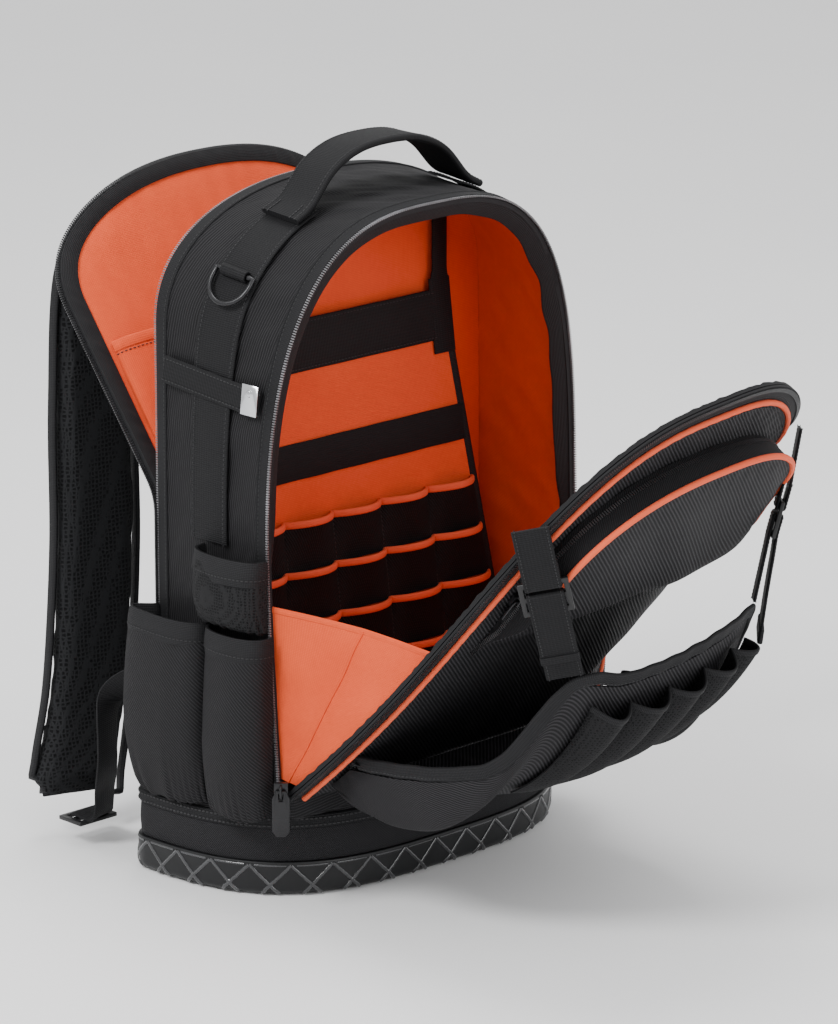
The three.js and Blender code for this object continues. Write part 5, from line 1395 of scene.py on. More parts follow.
@dataclass
class Pouch:
    """The zipped pouch on the flap's upper half."""

    arch: Arch = Arch(116.0, 276.0, 94.0, 2.55, 196.0)
    base: float = 4.3
    cord: float = 2.3

    def depth(self, s: Grid) -> Grid:
        """How deep the pouch is at a place along the flap."""
        return mix(1.6, 22.0, ease(196, 262, s))

    def build(self) -> None:
        """Makes the pouch's wall, face, zip and piping."""
        shares = np.linspace(0, 1, 300)
        x, s = self.arch.at(shares)
        inner_x, inner_s = self.arch.at(shares, 1.4)
        rows = np.linspace(0, 1, 8)[:, None]
        lifts = self.base + (self.depth(s)[None] - 0.4) * rows
        bow = 0.8 * np.sin(math.pi * rows)
        centre = np.array([0.0, 270.0])
        out = unit(np.stack([x, s], axis=1) - centre)
        outer = on_flap(x[None] + bow * out[None, :, 0], s[None] + bow * out[None, :, 1], lifts)
        inner = on_flap(np.broadcast_to(inner_x, lifts.shape), np.broadcast_to(inner_s, lifts.shape), lifts)
        uv = np.stack(np.broadcast_arrays(shares[None] * 620, lifts), axis=-1)
        place(solid("pouch_wall", inner, outer, uv), DARK_TWILL)
        rise = self.base + np.minimum(6.0, 0.5 * self.depth(s))
        tooth = on_flap(x + 0.9 * out[:, 0], s + 0.9 * out[:, 1], rise)
        sideways = on_flap(x + out[:, 0], s + out[:, 1], 5.0) - on_flap(x, s, 5.0)
        place_row(DARK_TOOTH, "pouch_zip_teeth", [(tooth, sideways)])
        face = arch_star(self.arch, 0.4, 196.5, 2.0, 26)
        folds = Folds(71, 1.0, 55, turn=0.9)
        near = Folds(72, 1.0, 11, spread=1.6)

        def top(px: Grid, ps: Grid, edge: Grid) -> Grid:
            """The face, full in the middle and tucked at the piping."""
            gathers = 0.9 * near.at(px, ps) * ease(0, 4, edge) * (1 - ease(8, 24, edge))
            puff = 2.6 * ease(0, 34, edge) + gathers + 1.6 * folds.at(px, ps)
            return self.base + self.depth(ps) + puff * ease(0, 8, edge)

        def under(px: Grid, ps: Grid, edge: Grid) -> Grid:
            """The face's underside."""
            return top(px, ps, edge) - 1.5

        place(star_cloth("pouch_face", face, on_flap, under, top), TWILL, "flap_pouch")
        seen = s > np.where(x < 0, 268, 236)
        path = on_flap(x, s, self.base + self.depth(s) - 0.2)[seen]
        ups = (on_flap(x, s, 9.0) - on_flap(x, s, 8.0))[seen]
        place(sweep("pouch_piping", path, ups, round_section(self.cord, 12)), CORAL)


# The bellows pocket with its bound rim, slots and straps

BELLOWS_ROWS = (
    (-0.84, 0.055, -0.87, 0.125, 0.075),
    (-0.84, 0.05, -0.83, 0.2, 0.34),
    (-0.8, 0.045, -0.77, 0.285, 0.6),
    (-0.72, 0.045, -0.7, 0.37, 0.75),
    (-0.6, 0.045, -0.61, 0.55, 0.7),
    (-0.36, 0.045, -0.34, 0.56, 0.8),
    (0, 0.045, 0, 0.56, 0.8),
    (0.36, 0.045, 0.34, 0.56, 0.74),
    (0.6, 0.045, 0.62, 0.535, 0.64),
    (0.72, 0.045, 0.71, 0.38, 0.68),
    (0.8, 0.045, 0.78, 0.285, 0.56),
    (0.84, 0.05, 0.83, 0.2, 0.32),
    (0.84, 0.055, 0.87, 0.125, 0.075),
)


@dataclass
class Bellows:
    """The big pocket whose seam lies on the flap's foot and whose rim hangs from two straps."""

    deep: float = 100.0
    seam_lift: float = 5.1
    sag: float = 40.0
    swing: float = 20.0
    rim: tuple[float, float] = (11.0, 3.4)

    def __post_init__(self) -> None:
        """Works out the seam and the rim."""
        rows = np.array(BELLOWS_ROWS)
        half = FRONT_ARCH.half
        self.seams = on_flap(rows[:, 0] * half, rows[:, 1] * FLAP_LENGTH, np.full(len(rows), self.seam_lift))
        self.rims = off_flap(rows[:, 2] * half, rows[:, 3] * FLAP_LENGTH, rows[:, 4] * self.deep)

    def at(self, u: Grid, v: Grid) -> Grid:
        """Points of the pocket: u along the rim, v from the seam to the rim."""
        u, v = np.broadcast_arrays(np.asarray(u, float), np.asarray(v, float))
        sag = 4 * v * (1 - v) * np.sqrt(np.maximum(0, np.sin(math.pi * u)))
        spot = mix(spline(self.seams, u), spline(self.rims, u), v[..., None])
        return spot + np.stack([0 * sag, -self.swing * sag, -self.sag * sag], axis=-1)

    def build(self) -> None:
        """Makes the pocket, its binding and its slots."""
        u, v = np.meshgrid(np.linspace(0, 1, 241), np.linspace(0, 1, 61))
        grid = self.at(u, v)
        folds = Folds(81, 1.0, 0.16, turn=0.15, spread=0.5, count=9)
        fine = Folds(82, 1.0, 0.035, turn=0.0, spread=0.12, count=8)
        straps = ((4 / 12, -1), (8 / 12, 1))
        pull = sum(np.exp(-(((u - hung) + 0.25 * (1 - v) * sign) / 0.035) ** 2) for hung, sign in straps)
        gathers = 1.4 * fine.at(u, v * 0.1) * (1 - ease(0, 0.4, v))
        lift = 3.0 * folds.at(u, v * 0.5) + gathers - 2.2 * pull * ease(0.3, 1, v)
        lift = lift * ease(0, 0.06, v) * (1 - 0.7 * ease(0.9, 1, v))
        grid = grid + grid_normals(grid) * lift[..., None]
        piece = place(cloth("bellows_cloth", grid, -0.8, 0.8), TWILL, "bellows_pocket")
        declare_sheet(piece, "hung", "flap_cloth", "pocket_strap_left_web", "pocket_strap_right_web")
        stops = np.linspace(0, 1, 300)
        rim = spline(self.rims, stops)
        ways = unit(self.at(stops, np.ones(300)) - self.at(stops, np.full(300, 0.94)))
        wave = Folds(84, 0.8, 24).at(run(rim), 0)[:, None]
        path = rim + ways * (self.rim[0] / 2 + 1.2)
        outs = np.cross(along(path), ways)
        path = path + outs * wave
        place(sweep("bellows_rim", path, ways, rounded_section(*self.rim, steps=5)), TAPE, "bellows_binding")
        for name, side in (("outer", 1), ("inner", -1)):
            seam = path - ways * (self.rim[0] / 2 - 2.2) + outs * side * 1.75
            place_row(STITCH, f"bellows_stitches_{name}", [(seam, outs * side)])
        self.slots()

    def slots(self) -> None:
        """The row of mesh loops on the pocket's outer side."""
        across, up = np.linspace(0, 1, 101), np.linspace(0, 1, 14)
        u, v = np.meshgrid(mix(9 / 24, 16 / 24, across), mix(0.5, 0.94, up))
        grid = self.at(u, v)
        normals = grid_normals(grid)
        turned = normals * np.sign(np.sum(normals * (0, -0.6, -0.8), axis=-1))[..., None]
        loops = 14 * up[:, None] * np.abs(np.sin(5 * math.pi * across))[None, :] ** 0.9
        inner, outer = (grid + turned * (2.6 + rise + loops)[..., None] for rise in (0, 1.3))
        piece = place(solid("tool_slot_mesh", inner, outer, lengths(grid)), NET, "tool_slots")
        declare_sheet(piece, "gathered", "bellows_cloth")
        edge = outer[-1] - turned[-1] * 0.6
        sides = unit(grid[-1] - grid[-2])
        place(sweep("tool_slot_binding", edge, sides, rounded_section(5.0, 2.2)), TAPE)


@dataclass
class FlapStrap:
    """A strap from the flap's edge through a ladder buckle to the bellows pocket's rim."""

    side: Side
    bellows: Bellows
    width: float = 26.0
    turn: float = 44.0
    bar: float = 4.4
    buckle: tuple[float, float] = (27.0, 3.0)

    def build(self) -> None:
        """Makes both webbings and dresses the buckle."""
        sign = self.side.value
        anchor = off_flap(sign * 136.0, 318.0, 4 + 2.1 + WEBBING / 2)
        foot = self.bellows.rims[4 if sign < 0 else 8]
        up = unit(anchor - foot)
        turn = math.radians(self.turn)
        out = unit(np.cross((math.cos(turn), sign * math.sin(turn), 0), up))
        out = -out if out[1] > 0 else out
        level = unit(np.cross(up, out))
        middle = mix(foot, anchor, 0.7 if sign < 0 else 0.62)
        length, thick = self.buckle
        face, wrap = (size / 2 + GAP + WEBBING / 2 for size in (thick, self.bar))
        top = (length - self.bar) / 2

        def at(y: float, z: float) -> Grid:
            """A point of the strap's own frame."""
            return middle + up * y + out * z

        reach = float(np.linalg.norm(anchor - middle))
        drop = float(np.linalg.norm(middle - foot))
        turned = 0.9 * wrap
        upper = [at(reach + 20, -1), at(top + 18, face * 0.8), at(top + 14, face), at(top, face),
                 at(top - turned, face * 0.9), at(top - wrap, 0), at(top - turned, -face * 0.9), at(top, -face),
                 at(top + 14, -face)]
        end, hang = (52, 0) if sign < 0 else (92, 1)
        push = np.array([sign, 0.4, 0])
        lower = [at(-drop + 14.5, 0), at(-top - 8, -face * 0.8), at(-top, -face), at(0, -face),
                 at(turned, -face * 0.9), at(wrap, 0), at(turned, face * 0.9), at(0, face), at(-top, face),
                 at(-top - 12, face + 1) - (0, 0, 2 * hang), at(-end * 0.6, face + 1.5) + push * hang * 9,
                 at(-end, face + 1.5) + push * hang * 22]
        for kind, rows in (("flap_strap", upper), ("pocket_strap", lower)):
            path = spline(np.array(rows), np.linspace(0, 1, 90))
            name = f"{kind}_{self.side.word}"
            place(sweep(f"{name}_web", path, level, rounded_section(self.width, WEBBING)), STRAP, name)
            outs = np.cross(along(path), level)
            lines = [(path + level * (self.width / 2 - 2.2) * edge + outs * flip, outs * flip)
                     for edge in (-1, 1) for flip in (-1, 1)]
            place_row(Row((0.7, 2.0, 0.5), 2.7, THREAD), f"{name}_stitches", lines)
        tip = spline(np.array(lower), np.linspace(0.975, 1, 6))
        hem = rounded_section(self.width + 1.4, WEBBING + 2.2)
        place(sweep(f"strap_end_{self.side.word}", tip, level, hem), STRAP)
        node = f"strap_buckle_{self.side.word}"
        place(softened(node, f"ladder_buckle_{self.side.word}", 0.7), PLASTIC, node)


@dataclass
class StopGusset:
    """A folded orange gusset that stops the flap on one side."""

    side: Side
    height: float = 134.0
    reach: float = 196.0
    fold: float = 14.0
    thick: float = 1.6

    def build(self) -> None:
        """Makes the gusset with its pressed fold."""
        sign = self.side.value
        x = sign * (FRONT_ARCH.half - INNER_INSET - self.thick)
        u, v = np.meshgrid(np.linspace(0, 1, 61), np.linspace(0, 1, 61))
        height = WALL_FOOT + mix(12, self.height, v)
        body = point(x, front_y(height) + 3, height)
        flap = on_flap(np.full(u.shape, x), mix(12, self.reach, v), -LINING - 2 * GAP - self.thick / 2)
        bend = 0.55 * np.sin(math.pi * u) + 0.45 * (1 - np.abs(2 * u - 1))
        grid = mix(body, flap, u[..., None])
        grid = grid + np.stack([-sign * self.fold * bend * v, 0 * u, -3 * bend * v], axis=-1)
        sewn = ease(0, 0.1, u) * (1 - ease(0.9, 1, u))
        folds = Folds(91 if sign < 0 else 92, 1.8, 0.35, turn=1.3).at(u, v) * sewn
        grid = grid + grid_normals(grid) * folds[..., None]
        node = f"stop_gusset_{self.side.word}"
        piece = place(cloth(f"{node}_cloth", grid, -0.7, 0.7, crease=70), ORANGE, node)
        declare_sheet(piece, "folded", "gusset_lining_cloth", "flap_lining_cloth")
        normal = grid_normals(grid)
        middle = len(u) // 2
        place(sweep(f"{node}_fold_seam", grid[:, middle] - sign * normal[:, middle] * 0.6, normal[:, middle],
                    rounded_section(2.4, 1.4)), ORANGE)
        top = grid[-1] + (0, 0, 0.2)
        place(sweep(f"{node}_edge", top, point(0, 0, 1.0), rounded_section(5, 2.6)), ORANGE)


# The tool board


@dataclass
class ToolBoard:
    """The board that leans on the divider: hanging band, elastic and four rows of looped pockets."""

    top: float = 383.0
    foot: float = 100.0
    face_y: float = 44.0
    half_foot: float = 139.0
    half_top: float = 107.0
    thick: float = 3.0
    tiers: int = 4
    loops: int = 5
    pitch: float = 36.5
    flare: float = 13.0

    def half(self, z: Grid) -> Grid:
        """The board's half-width at a height."""
        return mix(self.half_foot, self.half_top, (z - self.foot) / (self.top - self.foot))

    def at(self, x: Grid, z: Grid, lift: Grid) -> Grid:
        """Points held off the board's middle plane, towards the front."""
        lean = (42 - 5) / (self.top - self.foot)
        size = math.hypot(1, lean)
        y = self.face_y - mix(42, 5, (z - self.foot) / (self.top - self.foot))
        return point(x, y - np.asarray(lift) / size, z + np.asarray(lift) * lean / size)

    def up(self) -> Grid:
        """The direction up the board."""
        return unit(np.array([0, 37 / 283, 1.0]))

    def build(self) -> None:
        """Makes the board and all that is sewn to it."""
        low, high = (self.half_foot, self.foot), (self.half_top, self.top)
        corners = np.array([low, high, high, low, low]) * [[-1, 1], [-1, 1], [1, 1], [1, 1], [-1, 1]]
        line = np.column_stack([corners, np.zeros(5)])
        outline = evened(line, 3.0)[0][:-1, :2]
        folds = Folds(101, 0.7, 60)

        def front(x: Grid, z: Grid, edge: Grid) -> Grid:
            """The board's face."""
            return 1.5 - 0.5 * ease(0, 20, edge) * (0.6 + folds.at(x, z)).clip(0, 1)

        place(star_cloth("board_cloth", Star(outline, (0, 240), 20), self.at, -1.5, front), ORANGE, "tool_board")
        z = np.linspace(self.foot, self.top, 80)
        for side in Side:
            path = self.at(side.value * self.half(z), z, np.zeros(80))
            place(sweep(f"board_edging_{side.word}", path, np.array([1.0, 0, 0]), rounded_section(8, 4.6)), TAPE)
        self.hangers()
        self.bands()

    def hangers(self) -> None:
        """The stiff band across the top and the two webbings that hang it."""
        lift = self.thick / 2 + GAP + WEBBING / 2
        x = np.linspace(-95, 95, 60)
        path = self.at(x, np.full(60, self.top - 9.5), lift + 0.3 * np.cos(x / 9))
        place(sweep("board_band_web", path, self.up(), rounded_section(38, WEBBING)), STRAP, "board_band")
        out = np.broadcast_to((0, -1.0, 0.13), path.shape)
        lines = [(path + self.up() * rise + (0, -1.1, 0), out) for rise in (-16.5, 16.5)]
        place_row(STITCH, "board_band_stitches", lines)
        depth = (self.face_y - 5 - FRONT_Y) / BODY_DEPTH
        for side in Side:
            hung = side.value * 103.5
            skin = off_body(np.linspace(0, 0.5, 800), depth, -INNER_INSET)
            ceiling = float(np.interp(-abs(hung) - 4.5, skin[:, 0], skin[:, 2])) - 2.0
            heights = np.array([self.top - 38, self.top + 12, self.top + 24, ceiling])
            rows = np.array([self.at(hung, min(h, self.top + 12), lift) for h in heights])
            rows[:, 2] = heights
            path = spline(rows, np.linspace(0, 1, 40))
            wide = 1 - 0.3 * ease(0.45, 0.7, np.linspace(0, 1, 40))[:, None] * np.array([[1.0, 0.0]])
            section = rounded_section(21, WEBBING)
            place(sweep(f"board_hanger_{side.word}", path, np.array([1.0, 0, 0]), section, scale=wide), STRAP)

    def bands(self) -> None:
        """The elastic, the pocket tiers and their coral bindings."""
        z = 291.5
        half = float(self.half(z)) - 2.2
        x = np.linspace(-half, half, 160)
        path = self.at(x, np.full(160, z), 2.6 + 0.5 * np.sin(x / 7))
        place(sweep("board_elastic_web", path, self.up(), rounded_section(27, 1.6)), ELASTIC, "board_elastic")
        for tier in range(self.tiers):
            top = 248 - tier * self.pitch
            across, rise = np.meshgrid(np.linspace(0, 1, 161), np.linspace(0, 1, 14))
            z = mix(top - self.pitch + 0.6, top, rise)
            x = mix(-1, 1, across) * (self.half(z) - 3)
            loop = np.abs(np.sin(math.pi * self.loops * across)) ** 0.8
            flare = rise**1.3 * self.flare * loop
            inner, outer = (self.at(x, z, 1.8 + flare + grow) for grow in (0, 1.6))
            node = f"board_tier_{tier + 1}"
            place(solid(f"{node}_cloth", inner, outer, lengths(outer)), DARK_TWILL, node)
            edge = (inner[-1] + outer[-1]) / 2
            place(sweep(f"{node}_binding", edge, self.up(), rounded_section(5.5, 3.0)), CORAL)
            heights = np.linspace(top - self.pitch + 2, top - 1, 20)
            sewn = (np.arange(1, self.loops) / self.loops * 2 - 1) * (float(self.half(top)) - 3)
            seams = [(self.at(np.full(20, spot), heights, 3.6), point(0, -1.0, 0.1)) for spot in sewn]
            place_row(STITCH, f"{node}_stitches", seams)


# The rear panel, its sleeve and pad


@dataclass
class RearPanel:
    """The zipped rear panel, leaning back above its bend."""

    border: float = 12.0
    thick: float = 3.0
    sleeve: tuple[float, float, float, float] = (214.0, 392.0, 138.0, 11.0)

    def edge(self, inset: float, lift: float, count: int = 420) -> Grid:
        """A path along the panel's edge; lift is towards the wearer."""
        x, s = PANEL_ARCH.at(np.linspace(0.0005, 0.9995, count), inset)
        return on_panel(x, s, lift)

    def build(self) -> None:
        """Makes the panel's pieces."""
        slow = Folds(121, 1.2, 80, turn=0.8)
        pleat = Folds(122, 1.0, 26, turn=0.1, spread=0.4)
        star = arch_star(PANEL_ARCH, 0.4, WALL_FOOT, 3.0, 28)

        def outer(x: Grid, s: Grid, edge: Grid) -> Grid:
            """The wearer's face."""
            return 1.5 - 0.5 * ease(0, 10, edge) * (0.6 + slow.at(x, s)).clip(0, 1.4)

        def inside(x: Grid, s: Grid, edge: Grid) -> Grid:
            """The lining's face."""
            room = ease(PANEL_TOP - 480, 262, s) * ease(0, 18, edge)
            pleats = 1.1 * (pleat.at(x, s) + 0.4).clip(0, 2)
            return -3.6 - room * (1.6 * (slow.at(x, s) + 0.5).clip(0, 2) + pleats)

        place(star_cloth("rear_panel_cloth", star, on_panel, -1.5, outer), GUSSET_TWILL, "rear_panel")
        lined = arch_star(PANEL_ARCH, self.border - 4, WALL_FOOT + 0.4, 3.0, 26)
        piece = star_cloth("rear_lining_cloth", lined, on_panel, inside, -2.5)
        place(piece, ORANGE, "rear_panel_lining")
        declare_sheet(piece, "stretched", "rear_panel_cloth")
        shares = np.linspace(0.0005, 0.9995, 420)
        rows = np.linspace(0, self.border, 8)
        wave = Folds(123, 1.1, 15).at(shares * 1200, 0)
        bands = []
        for lift in (-5.2, -1.6):
            humps = np.sin(math.pi * rows / self.border)
            bands.append(np.array([self.edge(inset + 0.8, lift - (0.9 * hump + wave * hump * 0.8) * (lift < -4))
                                   for inset, hump in zip(rows, humps)]))
        uv = np.stack(np.broadcast_arrays(shares[None] * 1200, rows[:, None]), axis=-1)
        place(solid("rear_panel_binding", bands[0], bands[1], uv), TAPE)
        outs = self.edge(0, -1.0) - self.edge(0, 0.0)
        place_row(DARK_TOOTH, "rear_panel_teeth", [(self.edge(-0.6, -0.4), outs)])
        place(sweep("rear_panel_cord", self.edge(1.0, 1.6), outs, round_section(1.3, 8)), TAPE)
        self.laptop_sleeve()
        self.pad()

    def laptop_sleeve(self) -> None:
        """The orange sleeve on the panel's inner side, with its bound mouth."""
        low, high, half, deep = self.sleeve
        u, v = np.meshgrid(np.linspace(-1, 1, 121), np.linspace(0, 1, 71))
        s = mix(low, high, v)
        bow = np.sqrt(np.maximum(0, 1 - u**4))
        folds = Folds(131, 1.0, 70, turn=0.2).at(u * half, s) * bow * ease(0.1, 0.5, v)
        lift = -1.5 - 2 - LINING - 0.8 - deep * ease(262, high, s) * bow - 1.6 * (folds + 0.3).clip(0, 2)
        grids = [on_panel(u * half, s, lift + grow) for grow in (-0.7, 0.7)]
        piece = solid("sleeve_cloth", grids[0], grids[1], np.stack([u * half, s], axis=-1))
        place(piece, ORANGE, "laptop_sleeve")
        declare_sheet(piece, "stretched", "rear_lining_cloth")
        edge = (grids[0][-1] + grids[1][-1]) / 2
        sides = unit(grids[0][-1] - grids[0][-3])
        place(sweep("sleeve_hem", edge, sides, rounded_section(9, 3.0)), ORANGE)
        out = on_panel(u[-1] * half, s[-1], lift[-1] - 5) - edge
        place_row(STITCH, "sleeve_stitches", [(edge - sides * 6 + unit(out) * 1.2, out)])

    def pad(self) -> None:
        """The padded back of spacer mesh, with its binding."""
        piece = padded_copy("back_pad", "back_pad_mesh", voxel=5.5, cap=5.0, shrink=1.2)
        place(piece, MESH, "back_pad")
        span = 462.0 - 96.0
        s = np.linspace(98, 460, 160)
        half = 118 * (1 - np.abs(2 * (s - 96) / span - 1) ** 6 * 0.25)
        x = np.concatenate([-half, half[::-1]])
        up = np.concatenate([s, s[::-1]])
        path = on_panel(x, up, 4.6)
        outs = on_panel(x, up, 5.6) - path
        place(sweep("back_pad_binding", path, outs, rounded_section(7, 5), closed=True), TAPE)


def padded_copy(node: str, name: str, voxel: float, cap: float, shrink: float) -> bpy.types.Object:
    """A packed soft solid blown up a little like a filled pad.

    Args:
        node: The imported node.
        name: The new piece's name.
        voxel: The remesh's cell in millimetres.
        cap: How far a point may move in millimetres.
        shrink: How much smaller the pad starts, in millimetres.

    Returns:
        The pad, without its modifiers.
    """
    piece = merged_copy(node, name)
    remesh = piece.modifiers.new("cells", "REMESH")
    remesh.mode = "VOXEL"
    remesh.voxel_size = voxel * MM
    apply_modifiers(piece)
    mesh = piece.data
    start = np.zeros(len(mesh.vertices) * 3)
    mesh.vertices.foreach_get("co", start)
    normals = np.array([vertex.normal for vertex in mesh.vertices])
    start = start.reshape(-1, 3) - normals * shrink * MM
    mesh.vertices.foreach_set("co", start.ravel())
    mesh.update()
    blow = piece.modifiers.new("fill", "CLOTH")
    blow.settings.use_pressure = True
    blow.settings.uniform_pressure_force = 4
    blow.settings.effector_weights.gravity = 0
    blow.settings.quality = 4
    scene = bpy.context.scene
    for frame in range(1, 21):
        scene.frame_set(frame)
    apply_modifiers(piece)
    scene.frame_set(1)
    mesh = piece.data
    moved = np.zeros(len(mesh.vertices) * 3)
    mesh.vertices.foreach_get("co", moved)
    step = moved.reshape(-1, 3) - start
    size = np.linalg.norm(step, axis=1, keepdims=True)
    held = start + step * np.minimum(1, cap * MM / np.maximum(size, 1e-9))
    mesh.vertices.foreach_set("co", held.ravel())
    smooth = piece.modifiers.new("smooth", "SUBSURF")
    smooth.levels = smooth.render_levels = 1
    apply_modifiers(piece)
    piece.data.polygons.foreach_set("use_smooth", [True] * len(piece.data.polygons))
    return piece


# Each row of the harness: height, place across and place behind the panel, as shares of the top and the widths

HARNESS_ROWS = ((0.86, 0.58, 0.985), (0.66, 0.69, 0.92), (0.44, 0.72, 0.885), (0.22, 0.8, 0.85),
                (0.1, 0.92, 0.79), (0.055, 0.98, 0.74))
HARNESS_REACH = 137.0


@dataclass
class ShoulderStrap:
    """A padded shoulder strap, its edging, ladder lock and lower webbing."""

    side: Side
    width: float = 72.0
    thick: float = 13.0
    top: tuple[float, float] = (56.0, 482.0)
    tab: tuple[float, float] = (138.0, 142.0)

    def build(self) -> None:
        """Makes the strap and its webbing."""
        sign, word = self.side.value, self.side.word
        node = f"shoulder_strap_{word}"
        piece = place(padded_copy(node, f"{node}_mesh", voxel=4.5, cap=4.0, shrink=0.8), MESH, node)
        off = 1.5 + 1 + self.thick / 2
        x, s = self.top
        rows = [on_panel(sign * x, s, off), on_panel(sign * x * 1.12, 458.0, off + 19)]
        rows += [point(sign * across * REAR_ARCH.half, REAR_Y + back * HARNESS_REACH, height * s)
                 for height, across, back in HARNESS_ROWS]
        shares = np.linspace(0, 1, 160)
        path = spline(np.array(rows), shares)
        level = unit(on_panel(sign * (x + 10), s, 0) - on_panel(sign * (x - 10), s, 0)) * sign
        turned = point(np.ones(160), sign * 0.25 * shares, 0 * shares)
        sides = unit(mix(level[None], turned, ease(0, 0.3, shares)[:, None]))
        ways = along(path)
        sides = unit(sides - ways * np.sum(sides * ways, axis=1, keepdims=True))
        half = self.width * np.where(shares > 0.93, mix(1, 0.72, ease(0.9, 0.96, shares)), 1) / 2
        outs = np.cross(ways, sides)
        for edge in (-1, 1):
            line = path + sides * (half * edge)[:, None]
            name = "inner" if edge * sign < 0 else "outer"
            edging = sweep(f"{node}_edging_{name}", line[33:], outs[33:], rounded_section(9, 3.6))
            place(edging, TAPE)
        middle = path + outs * (self.thick / 2 + 1.4) * np.sign(outs[80, 1])
        place(sweep(f"{node}_web", middle[34:150], sides[34:150], rounded_section(25, WEBBING)), STRAP)
        lock = f"strap_lock_{word}"
        place(softened(lock, f"{lock}_moulding", 0.6), PLASTIC, lock)
        self.lower(rows[-1])

    def lower(self, end: Grid) -> None:
        """The webbing from the panel's tab to the lock."""
        sign, word = self.side.value, self.side.word
        lock_at = end + (sign * 2, -17, -9)
        tab = on_panel(sign * self.tab[0], self.tab[1], 1.5 + GAP + WEBBING / 2)
        rise = 1.5 + GAP + WEBBING / 2
        rows = [tab, tab + (sign * 12, 6, 0), tab + (sign * 26, 40, -22), tab + (sign * 26, 46, -72),
                lock_at + (sign * 2, -22, 26), lock_at + (0, -15, rise + 2), lock_at + (0, 6, rise)]
        shares = np.linspace(0, 1, 110)
        turn = math.pi / 2 * ease(0.1, 0.6, shares)
        sides = point(sign * np.sin(turn), -0.3 * np.sin(turn), np.cos(turn))
        node = f"lower_webbing_{word}"
        place(sweep(f"{node}_web", spline(np.array(rows), shares), sides, rounded_section(25, WEBBING)), STRAP, node)


# The handle, the side webbings, the rings and the clip


